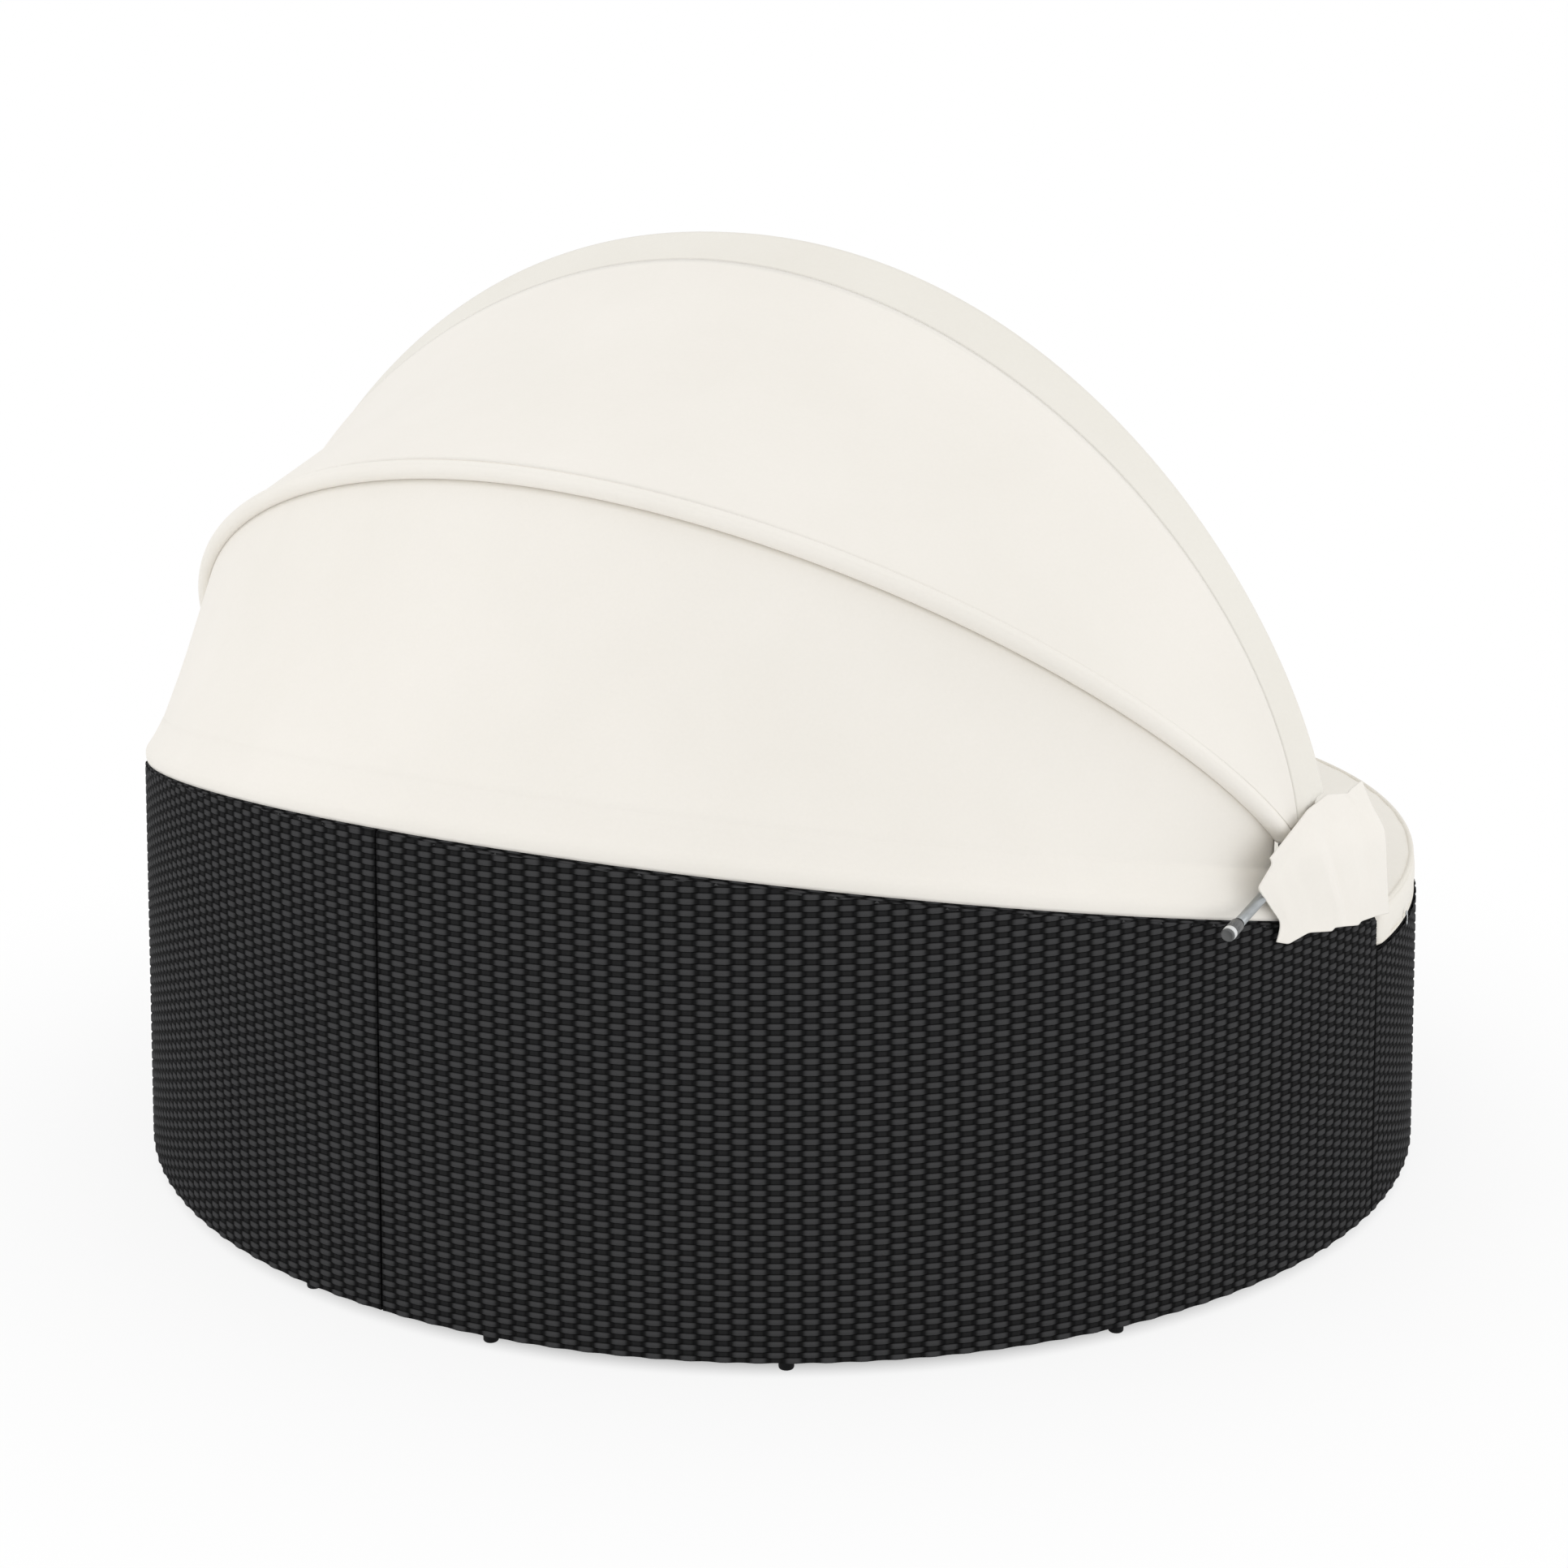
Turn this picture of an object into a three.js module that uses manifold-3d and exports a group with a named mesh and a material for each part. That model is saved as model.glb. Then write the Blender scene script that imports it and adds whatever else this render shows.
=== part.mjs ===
// Round garden daybed with a folding canopy. Four quarter seat modules stand on one circle, two of
// them with a high woven back, and a fan of hoops on a pair of hinges carries the cloth.
// Millimetres, +Z up. The origin is on the floor at the centre of the circle. The back of the bed
// is at +Y and its open front at -Y. Left (+X) and right (-X) are those of someone who sits in it.
import * as THREE from 'three';
import { mergeVertices } from 'three/addons/utils/BufferGeometryUtils.js';
import Module from 'manifold-3d';

const wasm = await Module();
wasm.setup();

// Driving sizes of the drum
const bedRadius = 1000;
const wallLeanShare = 0.038;
const touchGap = 0.3;
const seamGroove = 3;
const skin = 6;
const seatShellHeight = 412;
const wallRise = 53;
const rimSideHeight = seatShellHeight + wallRise;
const rimSlopeShare = 0.2192;
const rimRound = 12;
const wallDepth = 78;
const wellRadius = bedRadius - wallDepth;

// Feet
const footHeight = 22;
const footRadius = 10.25;
const footEdge = 2;
const footOutset = 10.6;
const backFootAngles = [9, 32.3, 58.8, 83.5];
const frontFootAngles = [12, 34, 57, 80];

// Welded frames and seat decks
const bar = 25;
const frameClearance = 2.3;
const wallPostInset = 12;
const postAngles = [30, 60];
const deckThickness = 12;

// Seat cushions
const cushionHeight = 60;
const cushionGap = 4;
const cushionTaper = 8;
const cushionPull = 7;
const cushionCrown = 13;
const cushionCorner = 34;
const pipingRadius = 4;
const seatCushionInset = 1.5;
const backCushionClearance = 12;

// Hinges and the hoops that turn on them
const pivotBack = 214;
const pivotRise = 147;
const pivotHeight = rimSideHeight + pivotRise;
const pivotBoltRadius = 4;
const runningGap = 0.3;
const midHoopInset = 72;
const frontHoopInset = 67;
const tipHoopInset = 39;
const midHoop = {
  span: bedRadius - midHoopInset,
  reach: 707,
  spanShare: 1.04,
  reachShare: 1.24,
  angle: 43.7,
  ahead: 0,
  tube: 9,
};
const frontHoop = {
  span: bedRadius - frontHoopInset,
  reach: 727,
  spanShare: 1.04,
  reachShare: 1.2,
  angle: 89,
  ahead: 0,
  tube: 6,
};
const tipHoop = {
  span: bedRadius - tipHoopInset,
  reach: 766,
  spanShare: 0.953,
  reachShare: 1.33,
  angle: 90,
  ahead: 44,
  tube: 5,
};
const lugHalfThickness = 2;
const lugHalfWidth = 11;
const lugEyeReach = 14;
const lugShoulderShare = 0.85;
const lugLength = 62;
const lugBlend = 24;
const tipBridgeReach = 96;
const tipStrut = 3;
const tipStrutShares = [0.25, 0.5, 0.75];

// Hinge brackets, side bars and the rail on the rim
const plateThickness = 5;
const lugSpacing = 1;
const nutSpacing = 1.5;
const plateFront = 70;
const plateRear = 240;
const plateHead = 13;
const flangeWidth = 34;
const flangeThickness = 4;
const railTube = 11;
const railInset = 14;
const railSocketLength = 26;
const barTube = 7.2;
const barInset = 63;
const barPlace = bedRadius - barInset;
const barDrop = 26.5;
const barRear = 398;
const barFront = 28;
const barSlopeShare = -0.186;
const sleeveWall = 2.5;
const sleeveFront = 82;
const sleeveRear = 150;
const capLength = 37;
const capRadius = 9.4;
const capNeck = 6.9;
const capCollarShare = 0.6;
const boltHeadRadius = 7;
const boltHeadHeight = 5;
const boltShoulderShare = 0.8;
const boltFaceShare = 0.4;
const nutRadius = 8;
const nutHeight = 7;

// Cloth
const clothThickness = 2.4;
const clothClearance = 1.1;
const seamGap = 1.5;
const hemRise = 15;
const hemProfile = [
  { inset: 4, rise: 23 },
  { inset: 13.5, rise: 35 },
  { inset: 23, rise: 50 },
  { inset: 30, rise: 62 },
];
const rearSag = 22;
const frontSag = 6;
const clothEndShare = 0.0425;

// Flaps over the hinges, and the zip of a cushion
const flapBehind = 106;
const flapAhead = 224;
const flapRise = 56;
const flapHang = 30;
const flapWallGap = 9;
const flapFold = 5;
const flapFoldCount = 3;
const flapEdgeShares = [
  { along: 0, top: 0.2, hem: 0.9 },
  { along: 0.09, top: 0.38, hem: 1 },
  { along: 0.2, top: 0.6, hem: 0.85 },
  { along: 0.36, top: 0.88, hem: 0.62 },
  { along: 0.55, top: 1, hem: 0.35 },
  { along: 0.82, top: 0.62, hem: 0 },
  { along: 1, top: 0.6, hem: -0.1 },
];
const flapRearShares = [
  { fall: 0, reach: 1 },
  { fall: 0.27, reach: 1.19 },
  { fall: 0.48, reach: 0.97 },
  { fall: 0.72, reach: 0.7 },
  { fall: 1, reach: 0.75 },
];
const zipAngle = 189;
const zipHeight = 9;
const zipPullLength = 16;
const zipPullWidth = 8;
const zipPullThickness = 2;

// Steps of the curved surfaces, as counts
const arcSteps = 16;
const cushionArcSteps = 14;
const cushionSideSteps = 6;
const cornerSteps = 4;
const panelSteps = 5;
const hoopSteps = 34;
const tubeSides = 8;
const clothSteps = 30;
const roundSteps = 12;
const footSteps = 8;

const black = new THREE.Color('#262626');
const cream = new THREE.Color('#f1ede5');

function finish(colour, roughness, metalness = 0) {
  return new THREE.MeshStandardMaterial({ color: colour, roughness, metalness });
}
const wickerFinish = () => finish(black, 0.6);
const coatedFinish = () => finish('#2b2b2c', 0.5, 0.6);
const clothFinish = () => finish(cream, 0.95);
const aluminiumFinish = () => finish('#a2a5a7', 0.35, 1);
const plasticFinish = () => finish('#18181a', 0.5);

const degrees = THREE.MathUtils.degToRad;
const point = (x, y, z) => new THREE.Vector3(x, y, z);
const evenly = (steps, from = 0, to = 1) =>
  Array.from({ length: steps + 1 }, (_, i) => from + ((to - from) * i) / steps);

// Heights and radii that the whole drum shares
const outerRadius = (height) => bedRadius - wallLeanShare * (height - footHeight);
const rimHeight = (y) => rimSideHeight + rimSlopeShare * y;
const deckTop = seatShellHeight - touchGap;
const deckBottom = deckTop - deckThickness;
const cushionBottom = seatShellHeight + touchGap;
const cushionTop = seatShellHeight + cushionHeight;
const ringRadius = outerRadius(seatShellHeight) - skin - frameClearance - bar / 2;
const wallPostRadius = ringRadius - wallPostInset;
const footCircle = ringRadius + footOutset;

function rimRadius(direction) {
  const height = rimHeight(bedRadius * direction.y);
  return outerRadius(height);
}

// Solids

// Turns a closed, indexed geometry the right way out and hands it to the solid library.
function toSolid(geometry) {
  let plain = geometry.clone();
  plain.deleteAttribute('normal');
  plain.deleteAttribute('uv');
  plain = mergeVertices(plain);
  const places = plain.getAttribute('position');
  const corners = plain.getIndex().array.slice();
  const a = new THREE.Vector3();
  const b = new THREE.Vector3();
  const c = new THREE.Vector3();
  let volume = 0;
  for (let i = 0; i < corners.length; i += 3) {
    a.fromBufferAttribute(places, corners[i]);
    b.fromBufferAttribute(places, corners[i + 1]);
    c.fromBufferAttribute(places, corners[i + 2]);
    volume += a.dot(b.cross(c));
  }
  if (volume < 0) {
    for (let i = 0; i < corners.length; i += 3) {
      [corners[i + 1], corners[i + 2]] = [corners[i + 2], corners[i + 1]];
    }
  }
  const vertProperties = new Float32Array(places.array);
  const triVerts = new Uint32Array(corners);
  return new wasm.Manifold(new wasm.Mesh({ numProp: 3, vertProperties, triVerts }));
}

function joined(solids) {
  return solids.reduce((whole, solid) => whole.add(solid));
}

function toMesh(name, solid, material) {
  const data = solid.getMesh();
  const geometry = new THREE.BufferGeometry();
  geometry.setAttribute('position', new THREE.BufferAttribute(data.vertProperties, 3));
  geometry.setIndex(new THREE.BufferAttribute(data.triVerts, 1));
  geometry.computeVertexNormals();
  const mesh = new THREE.Mesh(geometry, material);
  mesh.name = name;
  return mesh;
}

// The triangles that close one flat ring of points, facing the way the ring turns.
function capTriangles(ring) {
  const normal = new THREE.Vector3();
  ring.forEach((p, i) => normal.add(p.clone().cross(ring[(i + 1) % ring.length])));
  normal.normalize();
  const right = new THREE.Vector3().subVectors(ring[1], ring[0]).normalize();
  const ahead = new THREE.Vector3().crossVectors(normal, right);
  const outline = ring.map((p) => new THREE.Vector2(p.dot(right), p.dot(ahead)));
  return THREE.ShapeUtils.triangulateShape(outline, []).map(([i, j, k]) => {
    const ij = outline[j].clone().sub(outline[i]);
    const ik = outline[k].clone().sub(outline[i]);
    return ij.cross(ik) > 0 ? [i, j, k] : [i, k, j];
  });
}

// A closed body through rings with the same number of points, capped at both ends.
function loft(rings) {
  const count = rings[0].length;
  const corners = [];
  for (let i = 0; i + 1 < rings.length; i += 1) {
    for (let j = 0; j < count; j += 1) {
      const next = (j + 1) % count;
      const [a, b] = [i * count + j, i * count + next];
      const [c, d] = [(i + 1) * count + next, (i + 1) * count + j];
      corners.push(a, b, c, a, c, d);
    }
  }
  const last = (rings.length - 1) * count;
  capTriangles(rings[0]).forEach(([i, j, k]) => corners.push(i, k, j));
  capTriangles(rings[rings.length - 1]).forEach(([i, j, k]) => corners.push(last + i, last + j, last + k));
  const geometry = new THREE.BufferGeometry();
  geometry.setAttribute(
    'position',
    new THREE.Float32BufferAttribute(rings.flat().flatMap((p) => p.toArray()), 3),
  );
  geometry.setIndex(corners);
  return toSolid(geometry);
}

// A thin sheet over a grid of points, half its thickness on each side of them.
function sheet(grid, thickness) {
  const rows = grid.length;
  const columns = grid[0].length;
  const normalAt = (i, j) => {
    const alongRow = grid[i][Math.min(j + 1, columns - 1)].clone().sub(grid[i][Math.max(j - 1, 0)]);
    const acrossRows = grid[Math.min(i + 1, rows - 1)][j].clone().sub(grid[Math.max(i - 1, 0)][j]);
    return alongRow.cross(acrossRows).normalize();
  };
  const side = (sign) =>
    grid.flatMap((row, i) =>
      row.map((p, j) => p.clone().addScaledVector(normalAt(i, j), (sign * thickness) / 2)));
  const points = [...side(1), ...side(-1)];
  const under = rows * columns;
  const corners = [];
  const quad = (a, b, c, d) => corners.push(a, b, c, a, c, d);
  for (let i = 0; i + 1 < rows; i += 1) {
    for (let j = 0; j + 1 < columns; j += 1) {
      const a = i * columns + j;
      quad(a, a + 1, a + columns + 1, a + columns);
      quad(under + a, under + a + columns, under + a + columns + 1, under + a + 1);
    }
  }
  const first = (rows - 1) * columns;
  for (let j = 0; j + 1 < columns; j += 1) {
    quad(j + 1, j, under + j, under + j + 1);
    quad(first + j, first + j + 1, under + first + j + 1, under + first + j);
  }
  for (let i = 0; i + 1 < rows; i += 1) {
    const a = i * columns;
    const b = a + columns - 1;
    quad(a, a + columns, under + a + columns, under + a);
    quad(b + columns, b, under + b, under + b + columns);
  }
  const geometry = new THREE.BufferGeometry();
  geometry.setAttribute('position', new THREE.Float32BufferAttribute(points.flatMap((p) => p.toArray()), 3));
  geometry.setIndex(corners);
  return toSolid(geometry);
}

function turned(profile, steps) {
  const outline = profile.map(([radius, height]) => new THREE.Vector2(radius, height));
  return new THREE.LatheGeometry(outline, steps).rotateX(Math.PI / 2);
}

// Puts a lathe-turned or extruded piece, made along +Z, at a place with its axis along a direction.
function aimed(geometry, place, direction) {
  const turn = new THREE.Quaternion().setFromUnitVectors(point(0, 0, 1), direction.clone().normalize());
  return geometry.applyQuaternion(turn).translate(place.x, place.y, place.z);
}

// Quarters of the circle. Quarter 0 is the back left one, and they count towards the back right.
const planeDirection = (quarter) =>
  point(Math.round(Math.cos(degrees(90 * quarter))), Math.round(Math.sin(degrees(90 * quarter))), 0);

// A point measured from a quarter's two straight sides.
function quarterPoint(quarter, along, across, height) {
  return planeDirection(quarter)
    .multiplyScalar(along)
    .addScaledVector(planeDirection(quarter + 1), across)
    .setZ(height);
}

const ray = (angle) => point(Math.cos(degrees(angle)), Math.sin(degrees(angle)), 0);
const sideAngle = THREE.MathUtils.radToDeg(Math.asin(seamGroove / 2 / bedRadius));
const quarterAngles = (quarter) =>
  evenly(arcSteps, 90 * quarter + sideAngle, 90 * (quarter + 1) - sideAngle);
const slant = 1 - Math.SQRT1_2;

// The back wall's section at one angle: outer skin, rounded rim and inner skin round the frame.
function backWallSection(direction) {
  const at = (radius, height) => point(radius * direction.x, radius * direction.y, height);
  const top = (radius) => rimHeight(radius * direction.y);
  const outer = rimRadius(direction);
  return [
    at(bedRadius, footHeight),
    at(outer, top(outer) - rimRound),
    at(outer - rimRound * slant, top(outer) - rimRound * slant),
    at(outer - rimRound, top(outer - rimRound)),
    at(wellRadius + rimRound, top(wellRadius + rimRound)),
    at(wellRadius + rimRound * slant, top(wellRadius) - rimRound * slant),
    at(wellRadius, top(wellRadius) - rimRound),
    at(wellRadius, deckBottom + touchGap),
    at(wellRadius + skin, deckBottom + touchGap),
    at(wellRadius + skin, top(wellRadius) - skin - touchGap),
    at(outer - skin, top(outer) - skin - touchGap),
    at(bedRadius - skin, footHeight),
  ];
}

function seatWallSection(direction) {
  const at = (radius, height) => point(radius * direction.x, radius * direction.y, height);
  return [
    at(bedRadius, footHeight),
    at(outerRadius(seatShellHeight), seatShellHeight),
    at(outerRadius(seatShellHeight) - skin, seatShellHeight),
    at(bedRadius - skin, footHeight),
  ];
}

// The woven panel on one straight side of a quarter. Two neighbours touch here, and their outer
// skins stop short of each other, which leaves the groove that shows outside.
function sidePanel(quarter, atEnd, isBack) {
  const edge = touchGap / 2;
  const place = (along, across, height) =>
    (atEnd ? quarterPoint(quarter, across, along, height) : quarterPoint(quarter, along, across, height));
  const rings = [edge, edge + skin].map((across) => {
    const spot = (along, height) => place(along, across, height);
    const top = (along) => rimHeight(place(along, across, 0).y);
    const low = [spot(edge, footHeight), spot(bedRadius - seamGroove, footHeight)];
    if (!isBack) {
      const outer = outerRadius(seatShellHeight) - seamGroove;
      return [...low, spot(outer, seatShellHeight), spot(edge, seatShellHeight)];
    }
    const outer = rimRadius(place(1, 0, 0)) - seamGroove;
    return [
      ...low,
      spot(outer, top(outer) - rimRound),
      spot(outer - rimRound * slant, top(outer) - rimRound * slant),
      spot(outer - rimRound, top(outer - rimRound)),
      spot(wellRadius + rimRound, top(wellRadius + rimRound)),
      spot(wellRadius + rimRound * slant, top(wellRadius) - rimRound * slant),
      spot(wellRadius, top(wellRadius) - rimRound),
      spot(wellRadius, seatShellHeight),
      spot(edge, seatShellHeight),
    ];
  });
  return loft(rings);
}

function wickerShell(name, quarter) {
  const isBack = quarter < 2;
  const section = isBack ? backWallSection : seatWallSection;
  const wall = loft(quarterAngles(quarter).map((angle) => section(ray(angle))));
  const panels = [false, true].map((atEnd) => sidePanel(quarter, atEnd, isBack));
  return toMesh(name, joined([wall, ...panels]), wickerFinish());
}

// Bars of square section
const frameEdge = touchGap / 2 + skin + touchGap;

function arcBar(quarter, radius, bottomAt, topAt) {
  const [from, to] = [frameEdge, frameEdge].map((edge) => THREE.MathUtils.radToDeg(Math.asin(edge / radius)));
  const rings = evenly(arcSteps, 90 * quarter + from, 90 * (quarter + 1) - to).map((angle) => {
    const direction = ray(angle);
    const corner = (r, heightAt) => point(r * direction.x, r * direction.y, heightAt(r * direction.y));
    const [inner, outer] = [radius - bar / 2, radius + bar / 2];
    return [corner(inner, bottomAt), corner(outer, bottomAt), corner(outer, topAt), corner(inner, topAt)];
  });
  return loft(rings);
}

// A box between two corners that are measured along and across a quarter.
function quarterBox(quarter, low, high) {
  const a = quarterPoint(quarter, ...low);
  const b = quarterPoint(quarter, ...high);
  const size = b.clone().sub(a);
  const middle = a.clone().add(b).divideScalar(2);
  const box = new THREE.BoxGeometry(Math.abs(size.x), Math.abs(size.y), Math.abs(size.z));
  return toSolid(box.translate(middle.x, middle.y, middle.z));
}

function post(angle, radius, bottom, top) {
  const middle = ray(angle).multiplyScalar(radius);
  const box = new THREE.BoxGeometry(bar, bar, top - bottom);
  return toSolid(box.rotateZ(degrees(angle)).translate(middle.x, middle.y, (top + bottom) / 2));
}

const frameTop = deckBottom - touchGap;

function seatFrame(name, quarter) {
  const [low, high] = [footHeight, frameTop];
  const levels = [[low, low + bar], [high - bar, high]];
  const near = frameEdge;
  const far = ringRadius;
  const pieces = levels.flatMap(([bottom, top]) => [
    arcBar(quarter, ringRadius, () => bottom, () => top),
    quarterBox(quarter, [near, near, bottom], [far, near + bar, top]),
    quarterBox(quarter, [near, near, bottom], [near + bar, far, top]),
  ]);
  pieces.push(quarterBox(quarter, [near, near, low], [near + bar, near + bar, high]));
  pieces.push(quarterBox(quarter, [far - bar, near, low], [far, near + bar, high]));
  pieces.push(quarterBox(quarter, [near, far - bar, low], [near + bar, far, high]));
  postAngles.forEach((angle) => pieces.push(post(90 * quarter + angle, ringRadius, low, high)));
  const middle = ray(90 * quarter + 45).multiplyScalar(ringRadius / 2);
  const diagonal = new THREE.BoxGeometry(ringRadius - 2 * bar, bar, bar);
  diagonal.rotateZ(degrees(90 * quarter + 45)).translate(middle.x, middle.y, high - bar / 2);
  pieces.push(toSolid(diagonal));
  return toMesh(name, joined(pieces), coatedFinish());
}

// The frame inside the back wall stands on the seat frame's upper ring.
function wallFrame(name, quarter) {
  const topAt = (y) => rimHeight(y) - skin - 3 * touchGap;
  const pieces = [arcBar(quarter, wallPostRadius, (y) => topAt(y) - bar, topAt)];
  const edgeAngle = THREE.MathUtils.radToDeg(Math.asin((frameEdge + bar / 2 + touchGap) / wallPostRadius));
  [edgeAngle, ...postAngles, 90 - edgeAngle].forEach((turn) => {
    const angle = 90 * quarter + turn;
    const y = wallPostRadius * ray(angle).y;
    pieces.push(post(angle, wallPostRadius, frameTop + touchGap, topAt(y) - bar / 2));
  });
  return toMesh(name, joined(pieces), coatedFinish());
}

function seatDeck(name, quarter) {
  const isBack = quarter < 2;
  const radius = (isBack ? wellRadius : outerRadius(seatShellHeight) - skin) - 2 * touchGap;
  const turn = THREE.MathUtils.radToDeg(Math.asin(frameEdge / radius));
  const arc = evenly(arcSteps, 90 * quarter + turn, 90 * (quarter + 1) - turn)
    .map((angle) => ray(angle).multiplyScalar(radius));
  const outline = [quarterPoint(quarter, frameEdge, frameEdge, 0), ...arc];
  const rings = [deckBottom, deckTop].map((height) => outline.map((p) => p.clone().setZ(height)));
  return toMesh(name, loft(rings), wickerFinish());
}

function foot(name, place) {
  const top = footHeight - touchGap;
  const profile = [[0, 0], [footRadius - footEdge, 0], [footRadius, footEdge], [footRadius, top], [0, top]];
  const solid = toSolid(turned(profile, footSteps).translate(place.x, place.y, 0));
  return toMesh(name, solid, plasticFinish());
}

// Cushions

// A quarter's outline, drawn in by an inset, with round corners and sides that bow inwards.
function cushionOutline(quarter, radius, inset, pull) {
  const edge = cushionGap / 2 + inset;
  const reach = radius - inset;
  const corner = cushionCorner;
  const turn = THREE.MathUtils.radToDeg(Math.asin((edge + corner) / reach));
  const arc = evenly(cushionArcSteps, turn, 90 - turn).map((angle) => ray(angle).multiplyScalar(reach));
  const start = Math.sqrt(reach ** 2 - (edge + corner) ** 2);
  const straight = evenly(cushionSideSteps, edge + corner, start - corner)
    .map((along, i, all) => point(along, edge + pull * Math.sin((Math.PI * i) / (all.length - 1)), 0));
  const bend = (from, tip, to) =>
    new THREE.QuadraticBezierCurve3(from, tip, to).getPoints(cornerSteps).slice(1, -1);
  const mirror = (p) => point(p.y, p.x, 0);
  const outerTip = point(Math.sqrt(reach ** 2 - edge ** 2), edge, 0);
  const outerBend = bend(straight[straight.length - 1], outerTip, arc[0]);
  const innerBend = bend(mirror(straight[0]), point(edge, edge, 0), straight[0]);
  const outline = [
    ...straight,
    ...outerBend,
    ...arc,
    ...outerBend.map(mirror).reverse(),
    ...straight.map(mirror).reverse(),
    ...innerBend,
  ];
  return outline.map((p) => quarterPoint(quarter, p.x, p.y, 0));
}

const frontCushionRadius = outerRadius(seatShellHeight) - seatCushionInset;
const cushionMiddleShare = 0.45;
const crownRings = [
  { share: 0.84, rise: 0.5 },
  { share: 0.56, rise: 0.86 },
  { share: 0.26, rise: 1 },
];

function cushion(name, quarter) {
  const isBack = quarter < 2;
  const radius = isBack ? wellRadius - backCushionClearance : frontCushionRadius;
  const taper = isBack ? cushionTaper / 2 : cushionTaper;
  const full = cushionOutline(quarter, radius, 0, 0);
  const middle = quarterPoint(quarter, radius * cushionMiddleShare, radius * cushionMiddleShare, 0);
  const ring = (inset, height, pull = 0) =>
    cushionOutline(quarter, radius, inset, pull).map((p) => p.setZ(height));
  const scaled = (outline, share, height) =>
    outline.map((p) => middle.clone().lerp(p, share).setZ(height));
  const seam = cushionBottom + 3 * pipingRadius;
  const topSeam = cushionTop - pipingRadius;
  const top = cushionOutline(quarter, radius, taper + 2 * pipingRadius, 0);
  const rings = [
    scaled(full, crownRings[0].share, cushionBottom),
    ring(2 * pipingRadius, cushionBottom),
    ring(pipingRadius / 2, (cushionBottom + seam) / 2),
    ring(pipingRadius, seam - pipingRadius),
    ring(0, seam),
    ring(pipingRadius, seam + pipingRadius),
    ring(taper / 2 + pipingRadius, (seam + topSeam) / 2, cushionPull),
    ring(taper + pipingRadius, topSeam - pipingRadius),
    ring(taper, topSeam),
    ring(taper + pipingRadius, topSeam + pipingRadius),
    ...crownRings.map(({ share, rise }) => scaled(top, share, cushionTop + cushionCrown * rise)),
  ];
  return toMesh(name, loft(rings), clothFinish());
}

// Hoops. A hoop lies in a plane through the hinge line, tilted by its angle from straight back, or
// in one that is parallel to such a plane and ahead of it.
// Its points are (span·cos^p(t), reach·sin^q(t)) with t from one hinge to the other.
const pivotPlace = point(0, pivotBack, pivotHeight);
const outwards = (angle) => point(0, Math.cos(degrees(angle)), Math.sin(degrees(angle)));
const forwards = (hoop) => point(1, 0, 0).cross(outwards(hoop.angle));

function hoopPoint(hoop, t, outset = 0) {
  const place = (turn) => {
    const cosine = Math.cos(turn);
    const across = hoop.span * Math.sign(cosine) * Math.abs(cosine) ** hoop.spanShare;
    const out = hoop.reach * Math.abs(Math.sin(turn)) ** hoop.reachShare;
    return pivotPlace.clone().add(point(across, 0, 0))
      .addScaledVector(outwards(hoop.angle), out)
      .addScaledVector(forwards(hoop), hoop.ahead);
  };
  if (outset === 0) {
    return place(t);
  }
  const small = degrees(1);
  const along = place(Math.min(t + small, Math.PI)).sub(place(Math.max(t - small, 0))).normalize();
  return place(t).addScaledVector(along.cross(forwards(hoop)), outset);
}

const turnAtReach = (hoop, reach) => Math.asin((reach / hoop.reach) ** (1 / hoop.reachShare));

// Rings of a hoop: half width across its plane, half thickness in it, at a list of turns.
function hoopRing(hoop, centre, along, halfWidth, halfThickness) {
  const planeNormal = forwards(hoop);
  const inPlane = along.clone().cross(planeNormal).normalize();
  return evenly(tubeSides, 0, 2 * Math.PI).slice(0, -1).map((turn) => {
    const offset = degrees(180 / tubeSides);
    return centre.clone()
      .addScaledVector(inPlane, halfThickness * Math.cos(turn + offset))
      .addScaledVector(planeNormal, halfWidth * Math.sin(turn + offset));
  });
}

function hoopTube(hoop, turns) {
  const points = turns.map((t) => hoopPoint(hoop, t));
  const rings = points.map((p, i) => {
    const before = points[Math.max(i - 1, 0)];
    const after = points[Math.min(i + 1, points.length - 1)];
    return hoopRing(hoop, p, after.clone().sub(before).normalize(), hoop.tube, hoop.tube);
  });
  return loft(rings);
}

// The flattened end of a hoop with its eye round the hinge bolt.
function hoopLug(hoop, side) {
  const direction = outwards(hoop.angle);
  const widths = [
    [-lugHalfWidth, lugHalfWidth / 2],
    [-lugHalfWidth * Math.SQRT1_2, lugHalfWidth * lugShoulderShare],
    [lugEyeReach, lugHalfWidth],
    [lugLength + lugBlend, hoop.tube],
  ];
  const rings = widths.map(([reach, halfWidth]) => {
    const turn = reach > lugEyeReach ? turnAtReach(hoop, reach) : 0;
    const centre = hoopPoint(hoop, side > 0 ? turn : Math.PI - turn);
    if (turn === 0) {
      centre.addScaledVector(direction, reach);
    }
    const normal = forwards(hoop);
    return [[-1, -1], [1, -1], [1, 1], [-1, 1]].map(([a, b]) =>
      centre.clone().add(point(a * lugHalfThickness, 0, 0)).addScaledVector(normal, b * halfWidth));
  });
  return loft(rings);
}

function boltHole(side) {
  const length = bedRadius / 2;
  const hole = new THREE.CylinderGeometry(
    pivotBoltRadius + runningGap, pivotBoltRadius + runningGap, length, roundSteps);
  return toSolid(hole.rotateZ(Math.PI / 2).translate(side * bedRadius, pivotBack, pivotHeight));
}

// The turns where a hoop's points lie: its two ends, and between them those of the cloth.
const shares = evenly(clothSteps);
const clothTurn = (share) => Math.PI * (clothEndShare + share * (1 - 2 * clothEndShare));

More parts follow.
